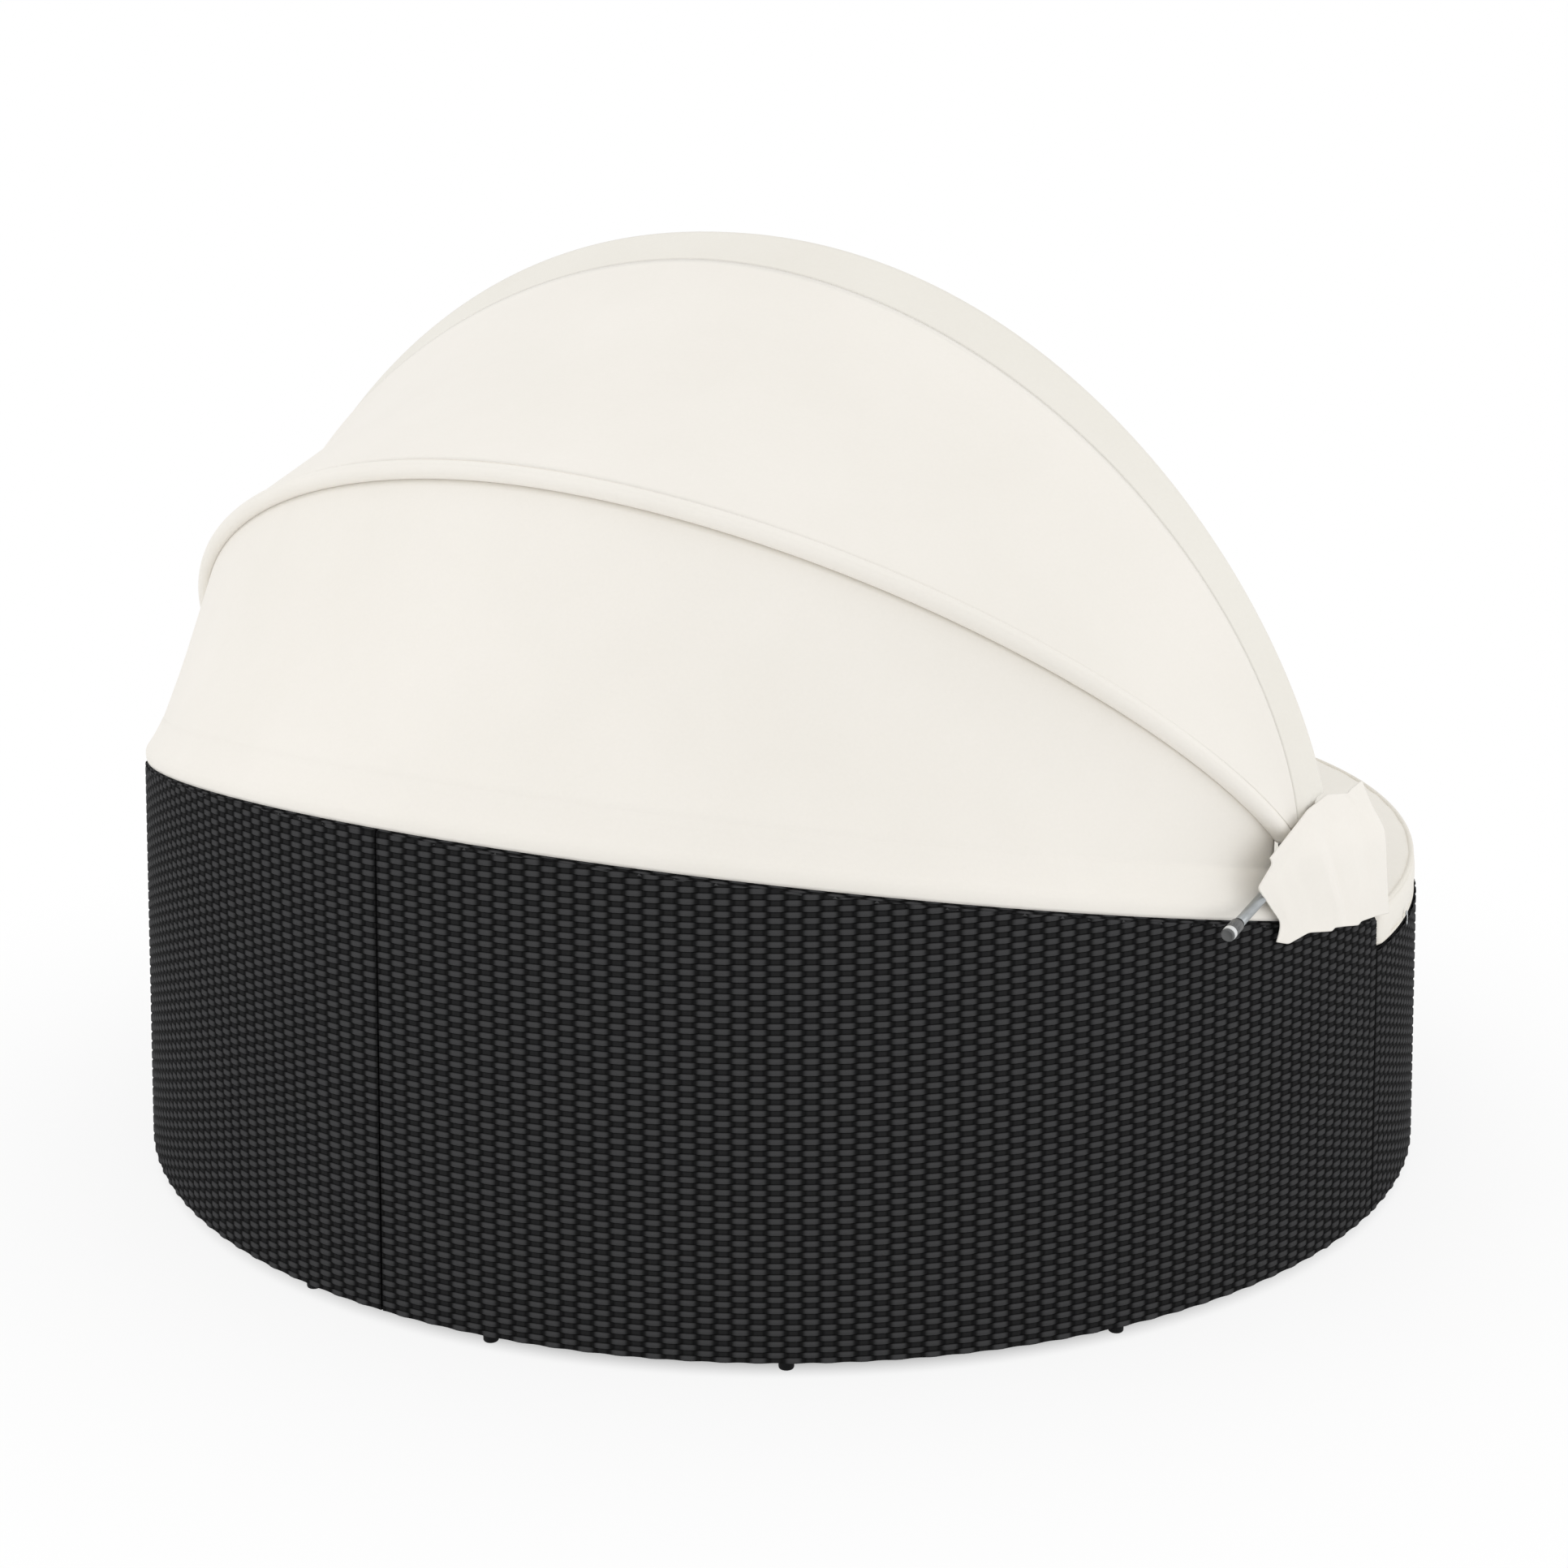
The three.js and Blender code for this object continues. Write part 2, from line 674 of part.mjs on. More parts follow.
function hoopTurns(hoop, reach) {
  const start = turnAtReach(hoop, reach);
  const inner = shares.map(clothTurn).filter((turn) => turn > start && turn < Math.PI - start);
  return [start, ...inner, Math.PI - start];
}

function hoopWithLugs(hoop) {
  const tube = hoopTube(hoop, hoopTurns(hoop, lugLength));
  const solid = joined([tube, hoopLug(hoop, 1), hoopLug(hoop, -1)]);
  return solid.subtract(boltHole(1)).subtract(boltHole(-1));
}

function rod(from, to, radius, sides = tubeSides) {
  const length = to.clone().sub(from);
  const geometry = new THREE.CylinderGeometry(radius, radius, length.length(), sides).rotateX(Math.PI / 2);
  return toSolid(aimed(geometry, from.clone().add(to).divideScalar(2), length));
}

// The front hoop carries a lighter tip hoop on short struts, which spreads the cloth at the opening.
function frontBow(name) {
  const tip = hoopTube(tipHoop, hoopTurns(tipHoop, tipBridgeReach));
  const start = turnAtReach(tipHoop, tipBridgeReach);
  const struts = [0, ...tipStrutShares, 1].map((share) => {
    const turn = start + share * (Math.PI - 2 * start);
    const frontStart = turnAtReach(frontHoop, tipBridgeReach);
    const frontTurn = frontStart + share * (Math.PI - 2 * frontStart);
    const ahead = forwards(frontHoop).multiplyScalar(frontHoop.tube - touchGap);
    return rod(hoopPoint(frontHoop, frontTurn).add(ahead), hoopPoint(tipHoop, turn), tipStrut);
  });
  return toMesh(name, joined([hoopWithLugs(frontHoop), tip, ...struts]), coatedFinish());
}

// Hinge hardware. The plate stands outside the side bar, and a boss spaces it from the hoops' lugs.
const bossInner = frontHoop.span + lugHalfThickness + lugSpacing;
const plateInner = barPlace + barTube + touchGap;
const plateOuter = plateInner + plateThickness;
const barHeight = (y) => pivotHeight - barDrop + barSlopeShare * (y - pivotBack);
const boltOuter = plateOuter + touchGap;

const railPoint = (angle) => {
  const direction = ray(angle);
  const radius = rimRadius(direction) - railInset;
  const lift = (railTube + touchGap) * Math.sqrt(1 + rimSlopeShare ** 2);
  return point(radius * direction.x, radius * direction.y, rimHeight(radius * direction.y) + lift);
};
const railStart = THREE.MathUtils.radToDeg(Math.asin((plateRear + railTube) / (bedRadius - railInset)));
const railStep = (180 - 2 * railStart) / hoopSteps;

function hingeBracket(name, side) {
  const seat = (y) => rimHeight(y) + touchGap;
  const across = (x) => side * x;
  const headFront = pivotBack - plateHead;
  const headRear = pivotBack + plateHead;
  const outline = [
    [plateFront, seat(plateFront)],
    [plateRear, seat(plateRear)],
    [plateRear, seat(plateRear) + 2 * railTube],
    [headRear, pivotHeight],
    [headRear - plateHead / 2, pivotHeight + plateHead],
    [headFront + plateHead / 2, pivotHeight + plateHead],
    [headFront, pivotHeight],
    [sleeveRear, barHeight(sleeveRear) + barTube + sleeveWall],
    [plateFront, barHeight(plateFront) + barTube + sleeveWall],
  ];
  const plate = loft([plateInner, plateOuter].map((x) => outline.map(([y, z]) => point(across(x), y, z))));
  const boss = rod(
    point(across(bossInner), pivotBack, pivotHeight),
    point(across(plateOuter), pivotBack, pivotHeight),
    lugHalfWidth - lugHalfThickness,
    roundSteps,
  );
  const flange = loft([plateOuter - flangeWidth, plateOuter].map((x) => [
    point(across(x), plateFront, seat(plateFront)),
    point(across(x), plateRear, seat(plateRear)),
    point(across(x), plateRear, seat(plateRear) + flangeThickness),
    point(across(x), plateFront, seat(plateFront) + flangeThickness),
  ]));
  const onBar = (y) => point(across(barPlace), y, barHeight(y));
  const sleeve = rod(onBar(sleeveFront), onBar(sleeveRear), barTube + sleeveWall, roundSteps);
  const bore = rod(onBar(0), onBar(plateRear), barTube + touchGap, roundSteps);
  const angle = side > 0 ? railStart : 180 - railStart;
  const railEnd = railPoint(angle);
  const inwards = railEnd.clone().sub(railPoint(angle + side * railStep)).normalize();
  const socketFar = railEnd.clone().addScaledVector(inwards, railSocketLength);
  const socketNear = railEnd.clone().addScaledVector(inwards, touchGap);
  const socket = rod(socketNear, socketFar, railTube);
  const solid = joined([plate, flange, socket, boss, sleeve]).subtract(bore).subtract(boltHole(side));
  return toMesh(name, solid, coatedFinish());
}

function sideBar(name, side) {
  const end = (y) => point(side * barPlace, y, barHeight(y));
  return toMesh(name, rod(end(barFront), end(barRear), barTube, roundSteps), aluminiumFinish());
}

// A stepped end cap: neck on the tube, collar and end disc.
function barCap(name, side, y, outward) {
  const place = point(side * barPlace, y, barHeight(y));
  const direction = point(0, outward, outward * barSlopeShare).normalize();
  place.addScaledVector(direction, touchGap);
  const profile = [
    [0, 0],
    [capNeck, 0],
    [capNeck, capLength / 8],
    [(capNeck + capRadius) / 2, capLength / 4],
    [capRadius, capLength * capCollarShare],
    [capRadius, capLength - capNeck / 6],
    [capRadius - capNeck / 6, capLength],
    [0, capLength],
  ];
  const solid = toSolid(aimed(turned(profile, roundSteps), place, direction));
  return toMesh(name, solid, finish('#5f6060', 0.4, 0.8));
}

const nutInner = midHoop.span - lugHalfThickness - nutSpacing;

function pivotBolt(name, side) {
  const length = boltOuter + boltHeadHeight - nutInner + nutHeight;
  const shank = length - boltHeadHeight;
  const profile = [
    [0, 0],
    [pivotBoltRadius, 0],
    [pivotBoltRadius, shank],
    [boltHeadRadius, shank],
    [boltHeadRadius * boltShoulderShare, length - boltHeadHeight / 3],
    [boltHeadRadius * boltFaceShare, length],
    [0, length],
  ];
  const start = point(side * (nutInner - nutHeight), pivotBack, pivotHeight);
  const solid = toSolid(aimed(turned(profile, roundSteps), start, point(side, 0, 0)));
  return toMesh(name, solid, aluminiumFinish());
}

function pivotNut(name, side) {
  const hole = pivotBoltRadius + touchGap;
  const profile = [
    [hole, 0],
    [nutRadius, 0],
    [nutRadius, nutHeight],
    [hole, nutHeight],
    [hole, 0],
  ];
  const start = point(side * nutInner, pivotBack, pivotHeight);
  const solid = toSolid(aimed(turned(profile, roundSteps), start, point(-side, 0, 0)));
  return toMesh(name, solid, aluminiumFinish());
}

function rimRail(name) {
  const angles = evenly(hoopSteps, railStart, 180 - railStart);
  const points = angles.map(railPoint);
  const rings = points.map((p, i) => {
    const along = points[Math.min(i + 1, points.length - 1)].clone().sub(points[Math.max(i - 1, 0)]).normalize();
    const up = point(0, -rimSlopeShare, 1).normalize();
    const out = along.clone().cross(up).normalize();
    return evenly(tubeSides, 0, 2 * Math.PI).slice(0, -1).map((turn) => {
      const angle = turn + degrees(180 / tubeSides);
      return p.clone().addScaledVector(out, railTube * Math.cos(angle)).addScaledVector(up, railTube * Math.sin(angle));
    });
  });
  return toMesh(name, loft(rings), coatedFinish());
}

// Cloth. Each sheet is stretched between two lines and drawn inwards between them.
const hemAngle = (share) => railStart + share * (180 - 2 * railStart);
const hemPoint = (share, outset, rise) => {
  const direction = ray(hemAngle(share));
  const radius = rimRadius(direction);
  const base = rimHeight(radius * direction.y);
  return point((radius + outset) * direction.x, (radius + outset) * direction.y, base + rise);
};
const canopyCentre = point(0, pivotBack, cushionTop);

function drawnIn(p, depth) {
  return p.clone().addScaledVector(canopyCentre.clone().sub(p).normalize(), depth);
}

// The distance from a hoop's line to the middle of the cloth that lies over it.
const halfCloth = clothThickness / 2;
const overTube = (hoop) => hoop.tube * Math.cos(Math.PI / tubeSides) + clothClearance + halfCloth;

// The hem rests on the rounded shoulder of the rim.
const hemSeat = (halfCloth + touchGap) * Math.SQRT1_2;

function rearPanel(name) {
  const behind = forwards(midHoop).multiplyScalar(-seamGap - halfCloth);
  const grid = shares.map((share) => {
    const top = hoopPoint(midHoop, clothTurn(share), overTube(midHoop)).add(behind);
    const lip = [
      hemPoint(share, hemSeat - rimRound * slant, hemSeat - rimRound * slant),
      hemPoint(share, halfCloth + touchGap, hemRise),
    ];
    const turned = hemProfile.map(({ inset, rise }) => hemPoint(share, -inset, rise));
    const start = turned.pop();
    const body = evenly(panelSteps).map((v) =>
      drawnIn(start.clone().lerp(top, v), rearSag * Math.sin(Math.PI * share) * Math.sin(Math.PI * v)));
    return [...lip, ...turned, ...body];
  });
  return toMesh(name, sheet(grid, clothThickness), clothFinish());
}

function frontPanel(name) {
  const ahead = forwards(midHoop).multiplyScalar(seamGap + halfCloth);
  const behind = forwards(frontHoop).multiplyScalar(-seamGap - halfCloth);
  const grid = shares.map((share) => {
    const low = hoopPoint(midHoop, clothTurn(share), overTube(midHoop)).add(ahead);
    const high = hoopPoint(frontHoop, clothTurn(share), overTube(frontHoop)).add(behind);
    return evenly(panelSteps).map((v) =>
      drawnIn(low.clone().lerp(high, v), frontSag * Math.sin(Math.PI * share) * Math.sin(Math.PI * v)));
  });
  return toMesh(name, sheet(grid, clothThickness), clothFinish());
}

function frontBand(name) {
  const grid = shares.map((share) => {
    const ahead = forwards(frontHoop).multiplyScalar(seamGap + halfCloth);
    const low = hoopPoint(frontHoop, clothTurn(share), overTube(frontHoop)).add(ahead);
    const tip = hoopPoint(tipHoop, clothTurn(share));
    const tangent = hoopPoint(tipHoop, clothTurn(share) - degrees(1)).sub(tip);
    const normal = tip.clone().sub(low).cross(tangent).normalize();
    return [low, tip.addScaledVector(normal, overTube(tipHoop))];
  });
  return toMesh(name, sheet(grid, clothThickness), clothFinish());
}

// A value between the rows of a table, at a place given by one of its columns.
function between(table, placeKey, key, place) {
  const next = Math.max(1, table.findIndex((row) => row[placeKey] >= place));
  const [before, after] = [table[next - 1], table[next]];
  return THREE.MathUtils.mapLinear(place, before[placeKey], after[placeKey], before[key], after[key]);
}

// The loose flap that hides a hinge: it hangs from the bolt, over the bar, and falls over the rim.
function hingeFlap(name, side) {
  const columns = 16;
  const rows = 6;
  const { lerp } = THREE.MathUtils;
  const overBolt = boltOuter + boltHeadHeight + touchGap + halfCloth;
  const overCap = barPlace + capRadius + touchGap + halfCloth;
  const grid = evenly(columns).map((along) =>
    evenly(rows).map((fall) => {
      const rear = pivotBack + flapBehind * between(flapRearShares, 'fall', 'reach', fall);
      const y = lerp(rear, pivotBack - flapAhead, along);
      const top = pivotHeight + flapRise * between(flapEdgeShares, 'along', 'top', along);
      const hem = rimHeight(y) - flapHang * between(flapEdgeShares, 'along', 'hem', along);
      const z = lerp(top, hem, fall);
      const wall = Math.sqrt(outerRadius(z) ** 2 - y ** 2) + flapWallGap;
      const inner = lerp(overBolt, overCap, Math.max(0, 2 * along - 1));
      const fold = flapFold * fall ** 3 * (1 + Math.cos(2 * Math.PI * flapFoldCount * along));
      return point(side * (lerp(inner, Math.max(wall, inner), fall ** 3) + fold), y, z);
    }));
  return toMesh(name, sheet(grid, clothThickness), clothFinish());
}

// The pull hangs flat against the facet of the front right cushion that it lies on.
function zipPull(name) {
  const quarter = 2;
  const outline = cushionOutline(quarter, frontCushionRadius, 0, 0);
  const turnOf = (p) => THREE.MathUtils.euclideanModulo(THREE.MathUtils.radToDeg(Math.atan2(p.y, p.x)), 360);
  const start = outline.findIndex((p, i) =>
    p.length() > wellRadius && turnOf(p) <= zipAngle && turnOf(outline[i + 1]) > zipAngle);
  const [before, after] = [outline[start], outline[start + 1]];
  const along = after.clone().sub(before).normalize();
  const out = point(along.y, -along.x, 0);
  const share = (zipAngle - turnOf(before)) / (turnOf(after) - turnOf(before));
  const place = before.clone().lerp(after, share);
  place.addScaledVector(out, touchGap + zipPullThickness / 2);
  const box = new THREE.BoxGeometry(zipPullThickness, zipPullWidth, zipPullLength);
  box.rotateZ(Math.atan2(out.y, out.x)).translate(place.x, place.y, cushionBottom + zipHeight);
  return toMesh(name, toSolid(box), aluminiumFinish());
}

// The assembly
const daybed = new THREE.Group();
const quarterNames = ['back_left', 'back_right', 'front_right', 'front_left'];
quarterNames.forEach((place, quarter) => {
  daybed.add(wickerShell(`${place}_wicker_shell`, quarter));
  daybed.add(seatFrame(`${place}_seat_frame`, quarter));
  daybed.add(seatDeck(`${place}_seat_deck`, quarter));
  daybed.add(cushion(`${place}_cushion`, quarter));
  const towardsBack = quarter < 2;
  const angles = towardsBack ? backFootAngles : frontFootAngles;
  angles.forEach((angle, i) => {
    const fromSeam = quarter % 2 === 0 ? 90 - angle : angle;
    const place2 = ray(90 * quarter + fromSeam).multiplyScalar(footCircle);
    daybed.add(foot(`${place}_foot_${i + 1}`, place2));
  });
  const postMiddle = frameEdge + bar / 2;
  daybed.add(foot(`${place}_centre_foot`, quarterPoint(quarter, postMiddle, postMiddle, 0)));
});
['back_left', 'back_right'].forEach((place, quarter) => {
  daybed.add(wallFrame(`${place}_wall_frame`, quarter));
});
[['left', 1], ['right', -1]].forEach(([place, side]) => {
  daybed.add(hingeBracket(`${place}_hinge_bracket`, side));
  daybed.add(sideBar(`${place}_side_bar`, side));
  daybed.add(barCap(`${place}_bar_rear_cap`, side, barRear, 1));
  daybed.add(barCap(`${place}_bar_front_cap`, side, barFront, -1));
  daybed.add(pivotBolt(`${place}_hinge_bolt`, side));
  daybed.add(pivotNut(`${place}_hinge_nut`, side));
  daybed.add(hingeFlap(`${place}_hinge_flap`, side));
});
daybed.add(rimRail('canopy_rim_rail'));
daybed.add(toMesh('canopy_mid_bow', hoopWithLugs(midHoop), coatedFinish()));
daybed.add(frontBow('canopy_front_bow'));
daybed.add(rearPanel('canopy_rear_panel'));
daybed.add(frontPanel('canopy_front_panel'));
daybed.add(frontBand('canopy_front_band'));
daybed.add(zipPull('front_right_zip_pull'));

export default daybed;
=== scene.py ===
# %% [markdown]
# # A round garden daybed with a folding canopy
#
# The real daybed is four quarter seats of woven resin that stand in a circle. The two at the back
# have a high wall, and hoops on two hinges carry a cream cloth over it. The CAD model has every
# part at its real size. Here each surface that shows gets its weave, folds, seams and finish.
#
# Surfaces are worked out as whole arrays: a shape is a function of two parameters, sampled on a
# grid. This suits woven walls and stretched cloth, because both are formulas of two lengths.

import math

import bmesh
import bpy
import numpy as np
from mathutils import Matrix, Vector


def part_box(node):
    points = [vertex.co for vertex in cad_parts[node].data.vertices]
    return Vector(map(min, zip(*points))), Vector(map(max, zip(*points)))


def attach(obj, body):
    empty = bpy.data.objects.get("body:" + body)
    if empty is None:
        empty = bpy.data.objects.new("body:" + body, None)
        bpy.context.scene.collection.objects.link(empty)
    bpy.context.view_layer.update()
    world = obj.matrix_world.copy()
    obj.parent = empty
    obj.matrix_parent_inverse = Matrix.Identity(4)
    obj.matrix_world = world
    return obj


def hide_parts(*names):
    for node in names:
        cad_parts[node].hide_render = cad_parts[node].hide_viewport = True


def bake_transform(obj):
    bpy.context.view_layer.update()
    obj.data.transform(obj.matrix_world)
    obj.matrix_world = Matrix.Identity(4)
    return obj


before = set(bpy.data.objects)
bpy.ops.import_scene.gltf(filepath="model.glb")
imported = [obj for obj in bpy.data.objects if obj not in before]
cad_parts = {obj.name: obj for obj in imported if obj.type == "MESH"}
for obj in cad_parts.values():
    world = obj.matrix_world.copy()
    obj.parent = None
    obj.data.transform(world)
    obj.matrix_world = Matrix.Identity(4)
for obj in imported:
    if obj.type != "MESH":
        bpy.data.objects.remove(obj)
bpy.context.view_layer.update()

# %% [markdown]
# The main sizes are those of the CAD model. A woven wall leans in by a small share of its height,
# and the rim is cut by a tilted plane, so both are short functions.

# %% Sizes of the drum
MM = 0.001
BED_RADIUS = 1000 * MM
WALL_LEAN = 0.038
FOOT_HEIGHT = 22 * MM
WEAVE_BASE = 19 * MM
SEAT_HEIGHT = 412 * MM
RIM_SIDE = 465 * MM
RIM_SLOPE = 0.2192
RIM_ROUND = 12 * MM
WELL_RADIUS = 922 * MM
MODULE_GROOVE = 3 * MM
QUARTERS = ["back_left", "back_right", "front_right", "front_left"]


def outer_radius(height):
    """The bed's radius, less the lean's share of the height above the feet."""
    return BED_RADIUS - WALL_LEAN * (height - FOOT_HEIGHT)


def rim_height(y):
    """A plane that rises towards the back: its height beside the hinges plus slope times y."""
    return RIM_SIDE + RIM_SLOPE * y


def smooth(share):
    """Goes from 0 to 1 with no kink at its ends: three times the square less twice the cube."""
    share = np.clip(share, 0, 1)
    return share * share * (3 - 2 * share)


print("Rim from", rim_height(0), "m at the sides to", round(rim_height(BED_RADIUS), 3), "m at the back")

# %% [markdown]
# Every new piece is one or more grids of points in one mesh. Each quad joins a point to its
# neighbours in both directions. The faces point to the side given by along crossed with across.

# %% From grids of points to a piece
def grid(points, loop=False, flip=False, uv=None, keep=None):
    """Numbers the quads of a grid of points. loop joins the last column to the first, flip turns
    the faces round, uv gives a pattern place to each point and keep drops faces."""
    along, across = points.shape[:2]
    number = np.arange(along * across).reshape(along, across)
    if loop:
        number = np.concatenate([number, number[:, :1]], axis=1)
    quads = np.stack([number[:-1, :-1], number[1:, :-1], number[1:, 1:], number[:-1, 1:]], axis=-1)
    if keep is not None:
        quads = quads[keep]
    quads = quads.reshape(-1, 4)
    if flip:
        quads = quads[:, ::-1]
    if uv is None:
        rows = np.linspace(0, 1, along)[:, None] + np.zeros((1, across))
        columns = np.linspace(0, 1, across)[None, :] + np.zeros((along, 1))
        uv = np.stack([rows, columns], axis=-1)
    return points.reshape(-1, 3), quads, uv.reshape(-1, 2)


def piece(name, grids, finish, tidy=True, values=None):
    """Joins grids into one smooth-shaded mesh object. tidy closes seams and poles, and values
    adds one number to each point for its material to read."""
    starts = np.cumsum([0] + [len(points) for points, quads, uv in grids[:-1]])
    points = np.concatenate([points for points, quads, uv in grids])
    quads = np.concatenate([quads + start for start, (points_, quads, uv) in zip(starts, grids)])
    places = np.concatenate([uv for points_, quads_, uv in grids])
    mesh = bpy.data.meshes.new(name)
    mesh.vertices.add(len(points))
    mesh.vertices.foreach_set("co", points.astype(np.float32).ravel())
    mesh.loops.add(quads.size)
    mesh.loops.foreach_set("vertex_index", quads.astype(np.int32).ravel())
    mesh.polygons.add(len(quads))
    mesh.polygons.foreach_set("loop_start", np.arange(0, quads.size, 4, dtype=np.int32))
    layer = mesh.uv_layers.new(name="pattern")
    layer.data.foreach_set("uv", places[quads.ravel()].astype(np.float32).ravel())
    if values is not None:
        attribute = mesh.attributes.new("tone", "FLOAT", "POINT")
        attribute.data.foreach_set("value", values.astype(np.float32).ravel())
    mesh.update(calc_edges=True)
    if tidy:
        work = bmesh.new()
        work.from_mesh(mesh)
        bmesh.ops.remove_doubles(work, verts=work.verts, dist=MM / 100)
        bmesh.ops.dissolve_degenerate(work, edges=work.edges, dist=MM / 200)
        work.to_mesh(mesh)
        work.free()
    mesh.polygons.foreach_set("use_smooth", np.ones(len(mesh.polygons), dtype=bool))
    mesh.materials.append(finish)
    obj = bpy.data.objects.new(name, mesh)
    bpy.context.scene.collection.objects.link(obj)
    return obj


# %% Tubes and turned forms
def unit(vectors):
    """Each vector divided by its own length."""
    return vectors / np.maximum(np.linalg.norm(vectors, axis=-1, keepdims=True), 1e-12)


def lengths(line):
    """How far along a line each of its points lies: the lengths of its steps, added up."""
    return np.concatenate([[0], np.cumsum(np.linalg.norm(np.diff(line, axis=0), axis=1))])


def full_turn(count):
    """Angles spread evenly round a circle, the last one a step short of the first."""
    return np.linspace(0, 2 * math.pi, count, endpoint=False)


def tube(path, radius, normal, sides=16, closed=False, ends=True):
    """Points on circles round a path. Each circle lies across the path: its place is the path's
    point plus radius times (cosine of the turn along the side plus sine along the normal)."""
    path = np.asarray(path, float)
    if closed:
        along = unit(np.roll(path, -1, axis=0) - np.roll(path, 1, axis=0))
    else:
        along = unit(np.gradient(path, axis=0))
    normal = np.broadcast_to(np.asarray(normal, float), path.shape)
    side = unit(np.cross(along, normal))
    up = np.cross(side, along)
    radius = np.broadcast_to(np.asarray(radius, float), (len(path),))
    if ends and not closed:
        path = np.concatenate([path[:1], path, path[-1:]])
        side = np.concatenate([side[:1], side, side[-1:]])
        up = np.concatenate([up[:1], up, up[-1:]])
        radius = np.concatenate([[0], radius, [0]])
    turn = full_turn(sides)
    ring = np.cos(turn)[None, :, None] * side[:, None] + np.sin(turn)[None, :, None] * up[:, None]
    points = path[:, None] + radius[:, None, None] * ring
    if closed:
        points = np.concatenate([points, points[:1]])
    length = lengths(points[:, 0])
    girth = np.linspace(0, 2 * math.pi * float(radius.max()), sides)
    uv = np.stack(np.broadcast_arrays(length[:, None], girth[None, :]), axis=-1)
    return grid(points, loop=True, flip=True, uv=uv)


def turned(profile, place, direction, sides=32):
    """A lathe form: each profile pair is a radius and a distance along the axis, carried round it."""
    profile = np.asarray(profile, float)
    direction = unit(np.asarray(direction, float))
    helper = np.array([0.0, 0.0, 1.0]) if abs(direction[2]) < 0.9 else np.array([1.0, 0.0, 0.0])
    side = unit(np.cross(helper, direction))
    up = np.cross(direction, side)
    turn = full_turn(sides)
    ring = np.cos(turn)[:, None] * side + np.sin(turn)[:, None] * up
    points = (np.asarray(place, float) + profile[:, None, 1:] * direction
              + profile[:, None, :1] * ring[None])
    return grid(points, loop=True, flip=True)


print("Helpers for grids, tubes and turned forms are ready")

# %% [markdown]
# ## Finishes
#
# A finish starts from what the real one is. Colours are read as sRGB hex values, as a colour
# picker gives them, and one function makes them linear for the shader. Another adds a node with
# its settings and links, which keeps each material to a few readable lines.

# %% Colours and nodes
def colour(text):
    """Turns an sRGB hex value to linear: the low end is divided by 12.92, the rest is a power."""
    shares = np.array([int(text[i:i + 2], 16) for i in (1, 3, 5)]) / 255
    linear = np.where(shares <= 0.04045, shares / 12.92, ((shares + 0.055) / 1.055) ** 2.4)
    return (*[float(v) for v in linear], 1.0)


def add(material, kind, inputs=None, **settings):
    """Adds one shader node. Settings are its own properties. Each input gets a value, a link from
    a socket, or a link from a node's first output."""
    node = material.node_tree.nodes.new("ShaderNode" + kind)
    for key, value in settings.items():
        setattr(node, key, value)
    for key, value in (inputs or {}).items():
        if isinstance(value, bpy.types.Node):
            value = value.outputs[0]
        if isinstance(value, bpy.types.NodeSocket):
            material.node_tree.links.new(value, node.inputs[key])
        else:
            node.inputs[key].default_value = value
    return node


def new_finish(name):
    """An empty material to which nodes are added."""
    material = bpy.data.materials.new(name)
    material.use_nodes = True
    material.node_tree.nodes.clear()
    return material


def done(material, shader):
    """Ends a material with its shader."""
    add(material, "OutputMaterial", {"Surface": shader})
    print("Finish:", material.name, "with", len(material.node_tree.nodes), "nodes")
    return material


# %% [markdown]
# The wall is woven of flat polyethylene strips, extruded with fine ribs and a satin skin. It is
# almost black, and the eye reads the weave from soft light on the crowns and the dark where a
# strip dives under. The strips' own shape makes a part of that. The rest is painted light and
# shade, so each point of the weave carries a tone, from painted shade at 0 in a groove to a
# painted highlight at 1 on a crown.
# Neighbouring crowns hide each other's gloss at a flat angle, so almost none is left.

# %% Woven polyethylene strip
STRIP_PITCH = 7.5 * MM
STAKE_PITCH = 22.5 * MM
RIB_COUNT = 5


def woven_strip():
    """The tone of each point, painted shade in the grooves and a painted highlight on the crowns, mixes
    the two colours; grain and ribs follow the pattern's places.
    """
    m = new_finish("woven polyethylene strip")
    tone = add(m, "Attribute", attribute_name="tone")
    place = add(m, "UVMap", uv_map="pattern")
    split = add(m, "SeparateXYZ", {"Vector": place.outputs["UV"]})
    # Fine grain that runs along the strips: about 28 streaks to a row and 4 to a stake
    stretch = add(m, "Mapping", {"Vector": place.outputs["UV"], "Scale": (2, 14, 1)})
    grain = add(m, "TexNoise", {"Vector": stretch, "Scale": 2.0, "Detail": 3.0})
    speck = add(m, "MapRange", {
        "Value": grain.outputs["Fac"], "To Min": 0.75, "To Max": 1.25})
    mixed = add(m, "Math", {0: speck, 1: tone.outputs["Fac"]},
                operation="MULTIPLY")
    # Painted light: the tone, times the grain, mixes a painted shade colour with a painted highlight
    # colour
    grain_and_painted_light = add(m, "Mix", {
        "Factor": mixed, 6: colour("#040404"), 7: colour("#424243")}, data_type="RGBA")
    # Ribs along each strip
    ribs = add(m, "Math", {0: split.outputs["Y"], 1: 2 * math.pi * RIB_COUNT},
               operation="MULTIPLY")
    wave = add(m, "Math", {0: ribs}, operation="COSINE")
    height = add(m, "Math", {0: grain.outputs["Fac"], 1: 0.5, 2: wave},
                 operation="MULTIPLY_ADD")
    bump = add(m, "Bump", {
        "Height": height, "Strength": 0.35, "Distance": 0.12 * MM})
    rough = add(m, "MapRange", {
        "Value": grain.outputs["Fac"], "To Min": 0.5, "To Max": 0.62})
    shader = add(m, "BsdfPrincipled", {
        "Base Color": grain_and_painted_light.outputs[2], "Roughness": rough, "IOR": 1.5,
        "Specular IOR Level": 0.004, "Normal": bump})
    return done(m, shader)


